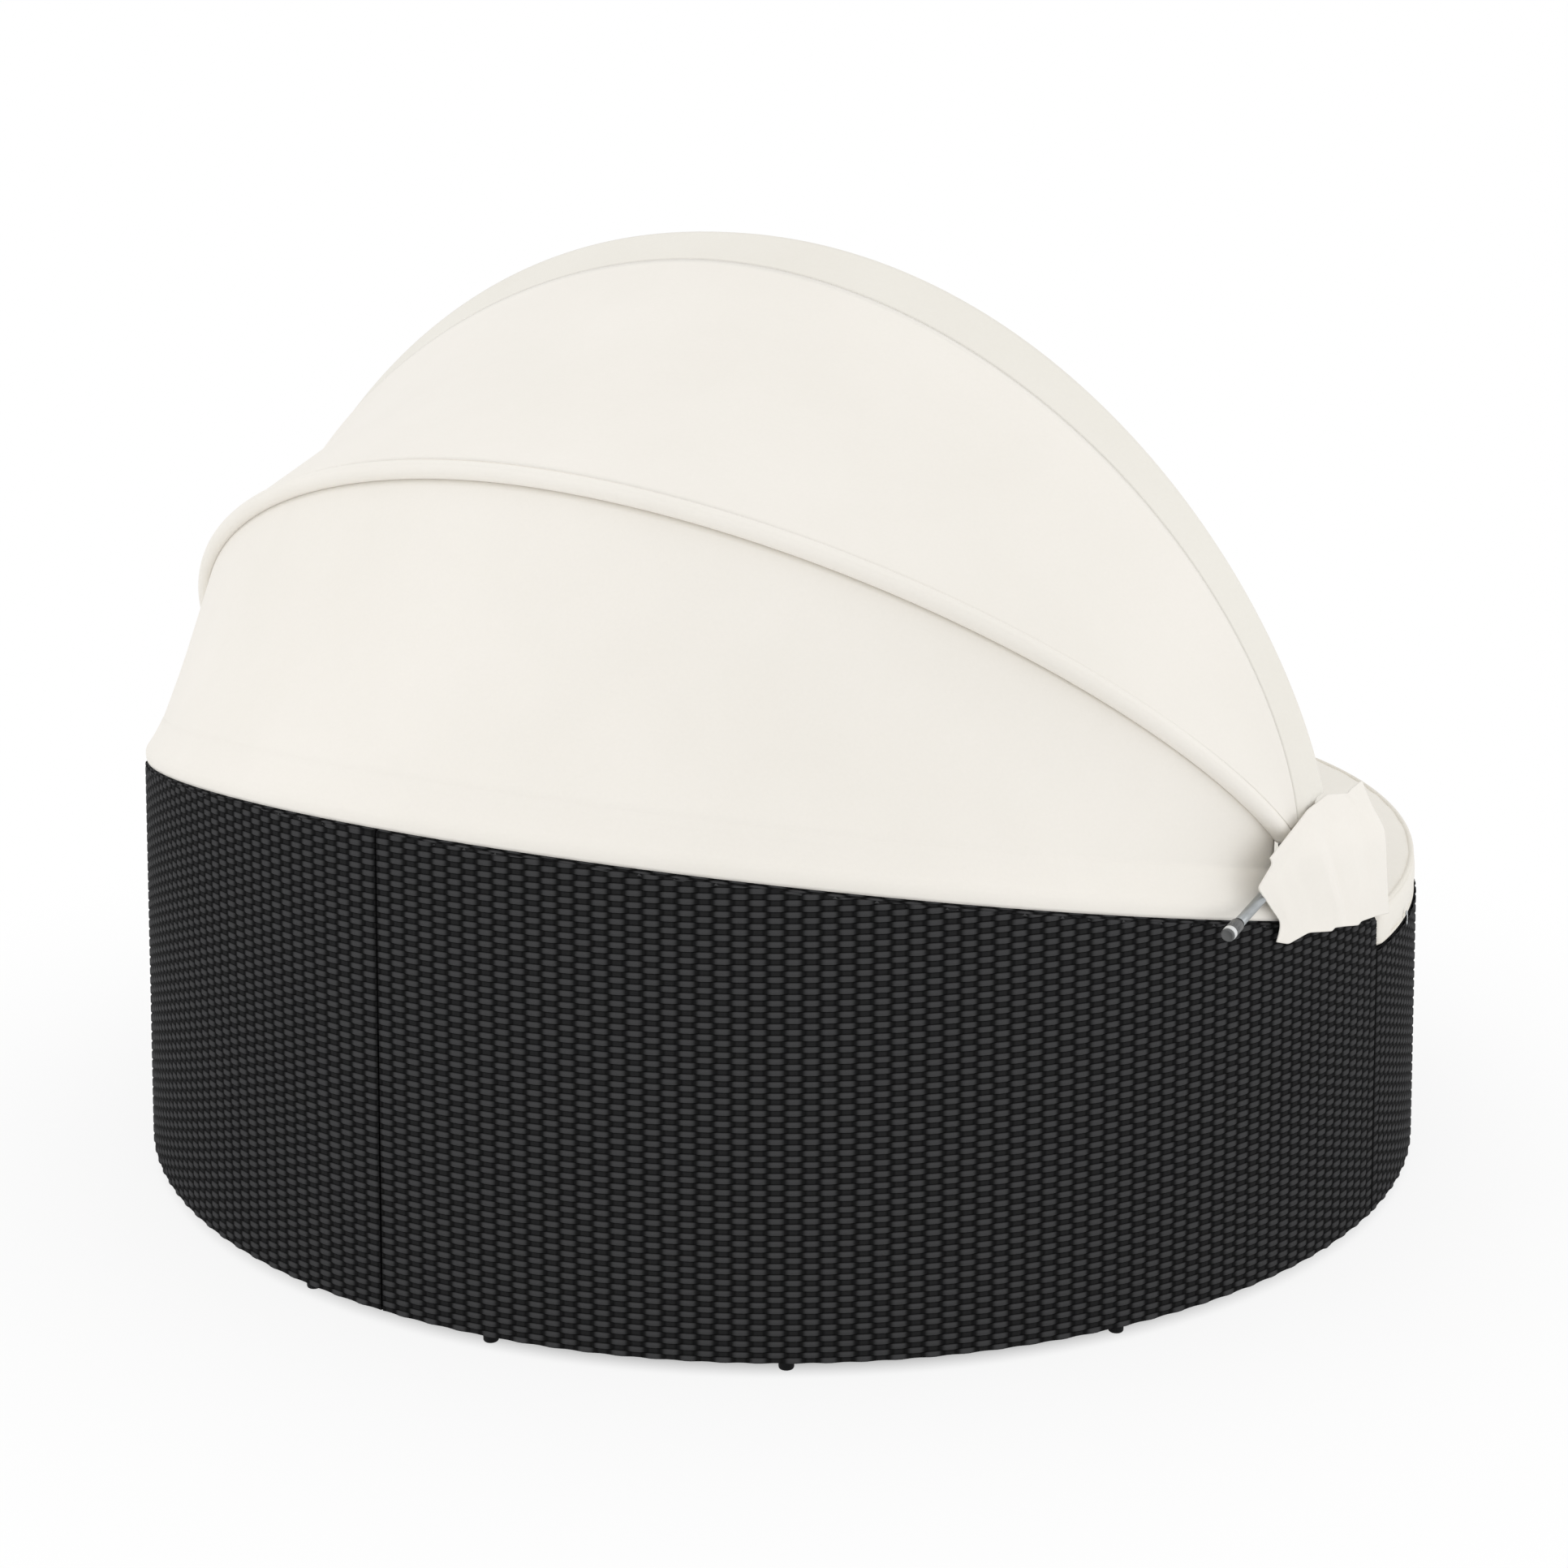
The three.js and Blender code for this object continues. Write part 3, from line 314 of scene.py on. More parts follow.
def woven_inside():
    """The same weave on the hidden sides of a module: the product of a sine of the place sideways
    and a sine of the height, as a pattern on its flat walls, with a painted highlight where it is high
    and painted shade where it is low."""
    m = new_finish("woven polyethylene strip, inner face")
    place = add(m, "TexCoord")
    split = add(m, "SeparateXYZ", {"Vector": place.outputs["Object"]})
    sideways = add(m, "Math", {0: split.outputs["X"], 1: split.outputs["Y"]},
                   operation="ADD")
    across = add(m, "Math", {0: sideways, 1: math.pi / STAKE_PITCH},
                 operation="MULTIPLY")
    up = add(m, "Math", {0: split.outputs["Z"], 1: math.pi / STRIP_PITCH},
             operation="MULTIPLY")
    first = add(m, "Math", {0: across}, operation="SINE")
    second = add(m, "Math", {0: up}, operation="SINE")
    crossed = add(m, "Math", {0: first, 1: second},
                  operation="MULTIPLY")
    half = add(m, "Math", {0: crossed, 1: 0.5, 2: 0.5},
               operation="MULTIPLY_ADD")
    # Painted light: the pattern lightens the colour where the bump is high and darkens it where it is
    # low
    mix = add(m, "Mix", {
        "Factor": half, 6: colour("#0b0b0c"), 7: colour("#202021")}, data_type="RGBA")
    bump = add(m, "Bump", {"Height": half, "Strength": 0.6, "Distance": 1.2 * MM})
    shader = add(m, "BsdfPrincipled", {
        "Base Color": mix.outputs[2], "Roughness": 0.6, "IOR": 1.5, "Specular IOR Level": 0.02,
        "Normal": bump})
    return done(m, shader)


STRIP = woven_strip()
STRIP_INSIDE = woven_inside()

# %% [markdown]
# Canopy and cushions are spun polyester, woven plain and dyed cream. Its threads lie about 0.6 mm
# apart, too fine for the whole bed in one picture, so the weave is drawn at 1.6 mm. A matt cloth
# with a little sheen looks soft, and slow changes of tone keep it from looking like plaster.

# %% Plain-woven polyester
THREAD_PITCH = 1.6 * MM


def woven_polyester(name, light, deep, thread=THREAD_PITCH, wrinkle=0.5):
    """A pattern of crossing threads on the UV map, which holds metres, over slow mottling."""
    m = new_finish(name)
    place = add(m, "UVMap", uv_map="pattern")
    split = add(m, "SeparateXYZ", {"Vector": place.outputs["UV"]})
    turns = 2 * math.pi / thread
    warp = add(m, "Math", {0: split.outputs["X"], 1: turns}, operation="MULTIPLY")
    weft = add(m, "Math", {0: split.outputs["Y"], 1: turns}, operation="MULTIPLY")
    warp_wave = add(m, "Math", {0: warp}, operation="SINE")
    weft_wave = add(m, "Math", {0: weft}, operation="SINE")
    threads = add(m, "Math", {0: warp_wave, 1: weft_wave},
                  operation="MULTIPLY")
    body = add(m, "TexCoord")
    slow = add(m, "TexNoise", {
        "Vector": body.outputs["Object"], "Scale": 3.0, "Detail": 4.0, "Roughness": 0.55})
    slub = add(m, "TexNoise", {
        "Vector": body.outputs["Object"], "Scale": 240.0, "Detail": 2.0})
    tone = add(m, "Math", {0: slub.outputs["Fac"], 1: 0.35, 2: slow.outputs["Fac"]},
               operation="MULTIPLY_ADD")
    share = add(m, "MapRange", {
        "Value": tone, "From Min": 0.35, "From Max": 1.0})
    mix = add(m, "Mix", {
        "Factor": share, 6: colour(light), 7: colour(deep)}, data_type="RGBA")
    fine = add(m, "Bump", {
        "Height": threads, "Strength": 0.25, "Distance": 0.15 * MM})
    crease = add(m, "TexNoise", {
        "Vector": body.outputs["Object"], "Scale": 7.0, "Detail": 5.0, "Roughness": 0.5,
        "Distortion": 0.4})
    bump = add(m, "Bump", {
        "Height": crease.outputs["Fac"], "Strength": wrinkle, "Distance": 4 * MM,
        "Normal": fine})
    shader = add(m, "BsdfPrincipled", {
        "Base Color": mix.outputs[2], "Roughness": 0.85, "IOR": 1.45, "Sheen Weight": 0.15,
        "Sheen Roughness": 0.5, "Specular IOR Level": 0.25, "Normal": bump})
    return done(m, shader)


CANOPY = woven_polyester("plain-woven polyester, canopy", "#f3efe8", "#ede9e1", wrinkle=0.35)
# The front band's cloth is the canopy's in darker colours, as painted shade
BAND_PAINTED_SHADE = woven_polyester("plain-woven polyester, front band in painted shade", "#edeae2", "#e7e3da", wrinkle=0.25)
CUSHION = woven_polyester("plain-woven polyester, cushion", "#f0ece4", "#e9e5dc", wrinkle=0.5)
PIPING = woven_polyester("plain-woven polyester, piping", "#eeeae1", "#e4dfd4", wrinkle=0.1)

# %% [markdown]
# The metal parts are small. The bars are anodised aluminium, drawn as tubes, with faint lines
# along them. The frames are steel with a dark powder coat, which cures to a fine orange peel.
# Bolts are zinc plated. Caps and feet are moulded nylon, with a faint grain from the mould.

# %% Metals and moulded plastics
ROUGHNESS_SPREAD = 0.06


def plain_finish(name, light, deep, metallic, roughness, grain_size, bump_height,
                 stretch=(1, 1, 1), gloss=0.5):
    """A noise of the given grain size in metres varies the colour, the roughness and the height.
    gloss is the strength of the reflection where the finish is no metal."""
    m = new_finish(name)
    place = add(m, "TexCoord")
    mapped = add(m, "Mapping", {"Vector": place.outputs["Object"], "Scale": stretch})
    grain = add(m, "TexNoise", {
        "Vector": mapped, "Scale": 1 / grain_size, "Detail": 3.0})
    mix = add(m, "Mix", {
        "Factor": grain.outputs["Fac"], 6: colour(light), 7: colour(deep)}, data_type="RGBA")
    rough = add(m, "MapRange", {
        "Value": grain.outputs["Fac"],
        "To Min": roughness - ROUGHNESS_SPREAD, "To Max": roughness + ROUGHNESS_SPREAD})
    bump = add(m, "Bump", {
        "Height": grain.outputs["Fac"], "Strength": 0.4, "Distance": bump_height})
    shader = add(m, "BsdfPrincipled", {
        "Base Color": mix.outputs[2], "Metallic": metallic, "Roughness": rough,
        "Specular IOR Level": gloss, "Normal": bump})
    return done(m, shader)


TUBE = plain_finish("anodised aluminium, drawn", "#b9bdbf", "#8d9193", 1.0, 0.38, 3 * MM, 0.05 * MM,
                    stretch=(1, 0.08, 1))
COAT = plain_finish("powder-coated steel", "#303133", "#232426", 0.0, 0.5, 1.5 * MM, 0.08 * MM)
ZINC = plain_finish("zinc-plated steel", "#c3c6c8", "#a3a6a8", 1.0, 0.3, 2 * MM, 0.03 * MM)
RING = plain_finish("turned aluminium ring", "#e2e3e3", "#cfd1d1", 0.3, 0.35, 2 * MM, 0.02 * MM)
CAP = plain_finish("moulded nylon, grey", "#636464", "#515252", 0.0, 0.42, 0.8 * MM, 0.05 * MM)
FOOT = plain_finish("moulded nylon, black", "#0c0d0f", "#08090a", 0.0, 0.6, 0.8 * MM, 0.05 * MM,
                    gloss=0.15)

# %% [markdown]
# ## The woven walls
#
# A weave could be drawn as a bump, but the drum's outline shows each strip. So the weave is built:
# upright stakes stand 22.5 mm apart, and strips of 7.5 mm pass over one and under the next. A
# strip's height along its way is a cosine that changes sign at each stake and on each row. Where
# the strip is behind, the flat face of the stake shows. Five columns to a stake and three lines to
# a row hold that shape and keep each wall under 200,000 triangles.

# %% The weave's relief
STAKE_STEPS = np.array([-0.5, -0.32, -0.18, 0.18, 0.32])
ROW_STEPS = np.array([0.0, 0.11, 0.89])
WEAVE_DEPTH = 1.5 * MM
SKIN_LIFT = 0.9 * MM
GROOVE_RELIEF = -0.5
BEHIND_RELIEF = -0.1
# Tones of the painted light: painted shade in a groove, at a strip's dark end and on the stake's face
# behind, and a painted highlight on a crown
GROOVE_PAINTED_SHADE = 0.02
END_PAINTED_SHADE = 0.14
BEHIND_PAINTED_SHADE = 0.34
CROWN_PAINTED_HIGHLIGHT = 1.02


def weave(stakes, rows, first=0):
    """Places counted in stakes and rows, and the relief and tone there. The relief is the cosine
    of the way from the stake, with the sign of stake plus row, the stake's face where that is
    behind, and a groove between rows. A strip is a little wider where it lies in front. The tone
    is painted light: a painted highlight rises with the strip, later near its two edges, so that
    each lit dash tapers to its ends, and the grooves and the stake's face behind get painted shade."""
    u = np.append((np.arange(stakes)[:, None] + 0.5 + STAKE_STEPS).ravel(), stakes)
    v = np.append((np.arange(rows)[:, None] + ROW_STEPS).ravel(), rows)
    stake = np.minimum(np.floor(u + 1e-6), stakes - 1)
    row = np.minimum(np.floor(v + 1e-6), rows - 1)
    sign = 1 - 2 * np.mod(stake[:, None] + row[None, :] + first, 2)
    offset = (u - stake - 0.5)[:, None]
    strip = np.cos(math.pi * offset) * sign
    behind = (sign < 0) & (np.abs(offset) < 0.2)
    painted_shade_groove = ((v - row < 0.01) | (v == rows))[None, :]
    relief = np.where(painted_shade_groove, GROOVE_RELIEF, np.where(behind, BEHIND_RELIEF, strip))
    # Painted highlight where the strip lifts, painted shade where it dives, on the stake's face and in
    # the grooves
    taper = 0.5 * (1 - strip) * (2 * (v - row) - 1)[None, :] ** 2
    lit = smooth((strip + 0.5 - taper) / 1.3)
    tone = np.where(behind, BEHIND_PAINTED_SHADE, END_PAINTED_SHADE + (CROWN_PAINTED_HIGHLIGHT - END_PAINTED_SHADE) * lit)
    tone = np.where(painted_shade_groove, GROOVE_PAINTED_SHADE, tone)
    u = u[:, None] + 0 * strip
    v = v[None, :] - 0.07 * strip * (1 - 2 * (v - row))[None, :]
    return u, v, relief, tone


def on_drum(angle, radius, height):
    """Places on the drum as x, y and z: radius times cosine and sine of the angle, and the height."""
    x, y = radius * np.cos(angle), radius * np.sin(angle)
    return np.stack(np.broadcast_arrays(x, y, height), axis=-1)


def touched(shown):
    """The quads of a grid of which at least one corner is shown."""
    return shown[:-1, :-1] | shown[1:, :-1] | shown[1:, 1:] | shown[:-1, 1:]


# %% Outer walls
def wall_angles(quarter, u, stakes, radius):
    """Spreads the stakes evenly over a quarter, less half of the groove at each end."""
    edge = math.asin(MODULE_GROOVE / 2 / radius)
    start = quarter * math.pi / 2 + edge
    return start + (math.pi / 2 - 2 * edge) * u / stakes


RIM_OVERLAP = 0.7 * RIM_ROUND
POST_DEPTH = 6 * MM
UNDER_DEPTH = 5 * MM


def outer_wall(quarter):
    """The wall's radius at each height plus the relief, cut off by the rim's plane."""
    is_back = quarter < 2
    stakes = round(math.pi / 2 * BED_RADIUS / STAKE_PITCH)
    top = rim_height(BED_RADIUS) if is_back else SEAT_HEIGHT
    rows = math.ceil((top - WEAVE_BASE) / STRIP_PITCH)
    u, v, relief, tone = weave(stakes, rows, quarter)
    angle = wall_angles(quarter, u, stakes, BED_RADIUS)
    height = WEAVE_BASE + v * STRIP_PITCH
    radius = outer_radius(height) + SKIN_LIFT + WEAVE_DEPTH * relief
    limit = SEAT_HEIGHT - 1 * MM + 0 * height
    if is_back:
        limit = rim_height(radius * np.sin(angle)) - RIM_OVERLAP
    keep = touched(height < limit)
    height = np.minimum(height, limit)
    points = on_drum(angle, radius, height)
    # Each end turns in round the corner post
    ends = [on_drum(angle[i], radius[i] - POST_DEPTH, height[i])[None] for i in (0, -1)]
    points = np.concatenate([ends[0], points, ends[1]])
    keep = np.concatenate([keep[:1], keep, keep[-1:]])
    # The lowest strip turns in under the wall
    twice = np.r_[0, 0:len(angle), -1]
    low = points[:, :1] - UNDER_DEPTH * on_drum(angle[twice, :1], 1, 0)
    low[:, :, 2] = FOOT_HEIGHT
    points = np.concatenate([low, points], axis=1)
    keep = np.concatenate([keep[:, :1], keep], axis=1)
    doubled = np.r_[0, 0:v.shape[1]]
    places = np.stack([u, v], -1)[twice][:, doubled]
    tone = tone[twice][:, doubled]
    name = QUARTERS[quarter] + "_woven_wall"
    wall = piece(name, [grid(points, uv=places, keep=keep)], STRIP, tidy=False, values=tone)
    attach(wall, "root")
    print(name, len(wall.data.polygons) * 2, "triangles")
    return wall


for quarter in range(4):
    outer_wall(quarter)

# %% [markdown]
# The back wall's strips go over the rim and down its inner face to the cushion. The rim's section
# is a round shoulder, a flat top and another round shoulder. One angle turns from 0 to 180 degrees
# along it, and gives both the place and the way that the strips stand out.

# %% Rim and inner wall of the back modules
RIM_ROWS = 11


def rim_and_inside(quarter):
    """Each shoulder of the rim is a quarter of a circle: its place goes with the cosine and the sine
    of its turn, with the flat top between. The inner wall is the well's radius less the relief."""
    stakes = round(math.pi / 2 * WELL_RADIUS / STAKE_PITCH)
    u, v, relief, tone = weave(stakes, RIM_ROWS, quarter)
    angle = wall_angles(quarter, u, stakes, BED_RADIUS)
    outside = outer_radius(rim_height(BED_RADIUS * np.sin(angle)))
    shoulder = RIM_ROUND * math.pi / 2
    flat = outside - WELL_RADIUS - 2 * RIM_ROUND
    way = np.clip(v / RIM_ROWS, 0, 1) * (2 * shoulder + flat)
    first = np.clip(way / shoulder, 0, 1) * math.pi / 2
    last = np.clip((way - flat - shoulder) / shoulder, 0, 1) * math.pi / 2
    across = outside - RIM_ROUND * (1 - np.cos(first)) - np.clip(way - shoulder, 0, flat)
    across = across - RIM_ROUND * np.sin(last)
    rise = -RIM_ROUND * (1 - np.sin(first)) - RIM_ROUND * (1 - np.cos(last))
    turn = first + last
    stand = 0.7 * MM + 0.55 * WEAVE_DEPTH * relief
    radius = across + stand * np.cos(turn)
    height = rim_height(radius * np.sin(angle)) + rise + stand * np.sin(turn)
    rim = on_drum(angle, radius, height)
    rim_places = np.stack([u, v], -1)
    rows = math.ceil((rim_height(WELL_RADIUS) - SEAT_HEIGHT) / STRIP_PITCH)
    u2, v2, relief2, tone2 = weave(stakes, rows, quarter)
    angle = wall_angles(quarter, u2, stakes, BED_RADIUS)
    height2 = SEAT_HEIGHT + v2 * STRIP_PITCH
    radius2 = WELL_RADIUS - 1.6 * MM - 0.8 * WEAVE_DEPTH * relief2
    limit = rim_height(radius2 * np.sin(angle)) - RIM_OVERLAP
    keep = touched(height2 < limit)
    inside = on_drum(angle, radius2, np.minimum(height2, limit))
    places = np.stack([u2, v2], -1)
    grids = [grid(rim, uv=rim_places), grid(inside, uv=places, keep=keep, flip=True)]
    values = np.concatenate([tone.ravel(), tone2.ravel()])
    name = QUARTERS[quarter] + "_woven_rim"
    obj = piece(name, grids, STRIP, tidy=False, values=values)
    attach(obj, "root")
    print(name, len(obj.data.polygons) * 2, "triangles")


for quarter in range(2):
    rim_and_inside(quarter)

# %% [markdown]
# ## Feet
#
# Small round nylon feet carry the frames. Each is turned, with a rounded lower edge.

# %% Feet
FOOT_RADIUS = 10.25 * MM
FOOT_ROUND = 3 * MM


def foot_grid(name):
    """A lathe form on the CAD foot's middle, whose lower edge is a quarter of a circle."""
    low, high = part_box(name)
    middle = [(low[0] + high[0]) / 2, (low[1] + high[1]) / 2, 0]
    top = high[2]
    turn = np.linspace(0, math.pi / 2, 6)
    flat = FOOT_RADIUS - FOOT_ROUND
    edge = [(flat + FOOT_ROUND * math.sin(t), FOOT_ROUND - FOOT_ROUND * math.cos(t)) for t in turn]
    profile = [(0, 0), *edge, (FOOT_RADIUS, top - 1 * MM), (FOOT_RADIUS - 1 * MM, top), (0, top)]
    return turned(profile, middle, (0, 0, 1), sides=24)


for name in QUARTERS:
    nodes = [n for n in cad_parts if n.startswith(name) and "foot" in n]
    feet = piece(name + "_turned_feet", [foot_grid(n) for n in nodes], FOOT)
    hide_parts(*nodes)
    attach(feet, "root")
    print(feet.name, "stands for", len(nodes), "feet")

# %% [markdown]
# ## Cushions
#
# Each seat cushion is a foam pad in a sewn cover, with piping round its top edge. A foam pad
# crowns in the middle and is held down by the seam at its edge. The cover is blown up by a cloth
# simulation, which finds that shape by itself, and a limit on each point's way stands for the
# foam. The limit is small beside the seams and grows over 160 mm. One front and one back cushion
# are simulated, and turned to the other quarters.

# %% A cushion's outline and cover
CUSHION_BOTTOM = 412.6 * MM
CUSHION_TOP = 472 * MM
CUSHION_CORNER = 34 * MM
PIPING_RADIUS = 4 * MM
SEAM_INSET = 7.4 * MM
FRONT_CUSHION = 983.7 * MM
BACK_CUSHION = 910 * MM
HALF_GAP = 2 * MM
SIDE_SWELL = 0.55


def outline(radius, inset, count=40):
    """A quarter disc with round corners and sides that swell towards the next cushion, as a loop of
    points: the arc, then one straight side to the centre, and the other one back."""
    edge = HALF_GAP + inset
    reach = radius - inset
    corner = CUSHION_CORNER
    start = math.asin((edge + corner) / reach)
    turn = np.linspace(start, math.pi / 2 - start, 2 * count)
    arc = reach * np.stack([np.cos(turn), np.sin(turn)], -1)
    far = math.sqrt(reach ** 2 - (edge + corner) ** 2) - corner
    along = np.linspace(far, edge + corner, count)
    share = np.linspace(0, 1, count)
    side = np.stack([edge - SIDE_SWELL * inset * np.sin(math.pi * share) ** 0.5, along], -1)
    other = side[::-1, ::-1]
    tip = math.sqrt(reach ** 2 - edge ** 2)

    def bend(a, b, c):
        """A round corner from a to c: the squares of the two shares weigh its ends, and twice their
        product weighs its tip b."""
        t = np.linspace(0, 1, 9)[1:-1, None]
        return (1 - t) ** 2 * np.array(a) + 2 * t * (1 - t) * np.array(b) + t ** 2 * np.array(c)

    return np.concatenate([
        arc,
        bend(arc[-1], (edge, tip), side[0]),
        side,
        bend(side[-1], (edge, edge), other[0]),
        other,
        bend(other[-1], (tip, edge), arc[0]),
    ])


# Each ring of the cover: the share of the way out, how much further in it lies and its height, in mm
COVER_RINGS = [
    (0.0, 3, 0), (0.5, 3, 0), (0.97, 3, 0), (1.0, -2, 0), (1.0, -2.6, 2), (1.0, -3.2, 12),
    (1.0, -3.4, 28), (1.0, -2.6, 42), (1.0, 0, 52), (1.0, 5, 55.5), (1.0, 10, 57),
    (0.96, 12, 58.5), (0.8, 12, 62), (0.5, 12, 65), (0.2, 12, 66), (0.0, 12, 66),
]
COVER_CENTRE = 0.42


def cover(radius, inset):
    """Rings of the outline from the middle of the base, out, up the side and in to the crown."""
    centre = np.array([COVER_CENTRE, COVER_CENTRE]) * radius
    rings = []
    for share, more, rise in COVER_RINGS:
        loop = centre + share * (outline(radius, inset + more * MM) - centre)
        rings.append(np.column_stack([loop, np.full(len(loop), CUSHION_BOTTOM + rise * MM)]))
    points = np.stack(rings)
    length = np.linspace(0, 3.4, points.shape[1])
    deep = np.linspace(0, 1.6, len(rings))
    uv = np.stack(np.broadcast_arrays(length[None, :], deep[:, None]), -1)
    return grid(points, loop=True, uv=uv)


def inward(points, radius):
    """How far each point lies inside the outline: the least of its ways to the three sides."""
    x, y = points[:, 0], points[:, 1]
    return np.minimum(np.minimum(x, y) - HALF_GAP, radius - np.hypot(x, y))


# %% Blow up a cover
VOXEL = 9 * MM
EDGE_LIMIT = 1.2 * MM
CROWN_LIMIT = 9 * MM
LIMIT_REACH = 160 * MM
COVER_INSET = 2.5 * MM
COVER_PRESSURE = 4
LAST_FRAME = 20


def points_of(obj):
    """The points of an object's mesh as one array."""
    places = np.empty(len(obj.data.vertices) * 3, dtype=np.float32)
    obj.data.vertices.foreach_get("co", places)
    return places.reshape(-1, 3).astype(float)


def set_points(obj, places):
    """Puts an array of points back into an object's mesh."""
    obj.data.vertices.foreach_set("co", places.astype(np.float32).ravel())
    obj.data.update()


def apply_modifiers(obj):
    """Turns the object's mesh into what its modifiers show."""
    bpy.context.view_layer.update()
    shown = obj.evaluated_get(bpy.context.evaluated_depsgraph_get())
    mesh = bpy.data.meshes.new_from_object(shown)
    obj.modifiers.clear()
    obj.data = mesh


def blown_cushion(name, radius):
    """Blows up a cover, then cuts each point's way to its limit, which goes from the edge's to
    the crown's with the way in from the outline."""
    obj = piece(name, [cover(radius, COVER_INSET)], CUSHION)
    remesh = obj.modifiers.new("even cloth", "REMESH")
    remesh.mode = "VOXEL"
    remesh.voxel_size = VOXEL
    apply_modifiers(obj)
    rest = points_of(obj)
    cloth = obj.modifiers.new("cover", "CLOTH")
    cloth.settings.use_pressure = True
    cloth.settings.uniform_pressure_force = COVER_PRESSURE
    cloth.settings.effector_weights.gravity = 0
    cloth.settings.quality = 4
    cloth.point_cache.frame_start = 1
    cloth.point_cache.frame_end = LAST_FRAME
    for number in range(1, LAST_FRAME + 1):
        bpy.context.scene.frame_set(number)
    apply_modifiers(obj)
    bpy.context.scene.frame_set(1)
    moved = points_of(obj) - rest
    way = np.linalg.norm(moved, axis=1, keepdims=True)
    freedom = smooth(inward(rest, radius) / LIMIT_REACH)[:, None]
    limit = EDGE_LIMIT + (CROWN_LIMIT - EDGE_LIMIT) * freedom
    places = rest + moved * np.minimum(1, limit / np.maximum(way, 1e-9))
    # The base stays flat on the deck, and the sides stay clear of the next cushion
    places[:, 2] = np.maximum(places[:, 2], CUSHION_BOTTOM)
    places[:, :2] = np.maximum(places[:, :2], HALF_GAP / 2)
    set_points(obj, places)
    divide = obj.modifiers.new("smoother", "SUBSURF")
    divide.levels = 1
    divide.render_levels = 1
    apply_modifiers(obj)
    top = float(points_of(obj)[:, 2].max())
    print(name, "has", len(obj.data.vertices), "points, top at", round(top, 4))
    return obj


# %% Four cushions with their piping
SEAM_DROP = 5 * MM
WELT_RADIUS = 3 * MM
WELT_INSET = 3.2 * MM
ARC_SWELL = 7 * MM
FULL_SWELL_RADIUS = 500 * MM
GATHER_HEIGHT = 0.7 * MM
GATHER_REACH = 60 * MM
WAVE_HEIGHT = 1.6 * MM


def quarter_turn(points, quarter):
    """Turns points by whole quarters round the bed's centre: (x, y) goes to (-y, x) each time."""
    points = np.array(points, float)
    for step in range(quarter):
        points = np.stack([-points[:, 1], points[:, 0], points[:, 2]], -1)
    return points


def edge_line(radius, inset, height):
    """The outline at one height."""
    loop = outline(radius, inset)
    return np.column_stack([loop, np.full(len(loop), height)])


def sewn_edges(name, radius, quarter):
    """Piping along the top edge and a thin welt that closes the edge of the base."""
    seam = edge_line(radius, SEAM_INSET, CUSHION_TOP - SEAM_DROP)
    seam[:, 2] += arc_lift(seam)
    top = quarter_turn(seam, quarter)
    low = quarter_turn(edge_line(radius, WELT_INSET, CUSHION_BOTTOM + WELT_RADIUS), quarter)
    up = (0, 0, 1)
    grids = [tube(top, PIPING_RADIUS, up, 12, closed=True),
             tube(low, WELT_RADIUS, up, 10, closed=True)]
    edges = piece(name, grids, PIPING)
    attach(edges, "root")
    return edges


def arc_lift(points, height=1):
    """Cushions are fuller in the middle of their arc: the swell times the squared sine of twice the
    angle, out from the centre, times the share of the height."""
    angle = np.arctan2(points[:, 1], points[:, 0])
    out_share = smooth(np.hypot(points[:, 0], points[:, 1]) / FULL_SWELL_RADIUS)
    return ARC_SWELL * np.sin(2 * angle) ** 2 * out_share * height


def wrinkled(points, radius):
    """Small gathers that run in from the piping, a sine along the outline that dies off inwards,
    and slow waves on the top, a product of two sines. The middle of the arc swells."""
    depth = inward(points, radius)
    angle = np.arctan2(points[:, 1], points[:, 0])
    fading = np.exp(-np.maximum(depth, 0) / GATHER_REACH)
    gather = np.sin(angle * 62 + 2 * np.sin(angle * 9)) * fading
    slow = np.sin(points[:, 0] * 17 + 1.3) * np.sin(points[:, 1] * 15 + 0.4)
    top = smooth((points[:, 2] - CUSHION_TOP + 15 * MM) / (15 * MM))
    lifted = points.copy()
    lifted[:, 2] += top * (GATHER_HEIGHT * gather + WAVE_HEIGHT * slow * smooth(depth / 0.15))
    height = np.clip((points[:, 2] - CUSHION_BOTTOM) / (50 * MM), 0, 1)
    lifted[:, 2] += arc_lift(points, height)
    return lifted


def cushions(first, second, radius):
    """Makes the first quarter's cushion and turns a copy of it to the second."""
    base = blown_cushion(QUARTERS[first] + "_seat_cushion", radius)
    shape = wrinkled(points_of(base), radius)
    for quarter, obj in ((first, base), (second, base.copy())):
        name = QUARTERS[quarter] + "_seat_cushion"
        if quarter == second:
            obj.data = base.data.copy()
            obj.name = name
            bpy.context.scene.collection.objects.link(obj)
        set_points(obj, quarter_turn(shape, quarter))
        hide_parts(QUARTERS[quarter] + "_cushion")
        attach(obj, "root")
        sewn_edges(QUARTERS[quarter] + "_cushion_piping", radius, quarter)


cushions(0, 1, BACK_CUSHION)
cushions(2, 3, FRONT_CUSHION)

# %% [markdown]
# A zip closes each cover low on its outer side. The welt hides its coil, and one pull shows on
# the front right cushion.

# %% Zip and pull
ZIP_ANGLE = math.radians(189)
PULL_DROP = 2 * MM
PULL_STAND = 4.5 * MM
PLATE_POWER = 0.6

low, high = [np.array(corner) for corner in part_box("front_right_zip_pull")]
middle = (low + high) / 2
out = np.array([math.cos(ZIP_ANGLE), math.sin(ZIP_ANGLE), 0])
aside = np.array([-out[1], out[0], 0])
up = np.array([0, 0, 1.0])


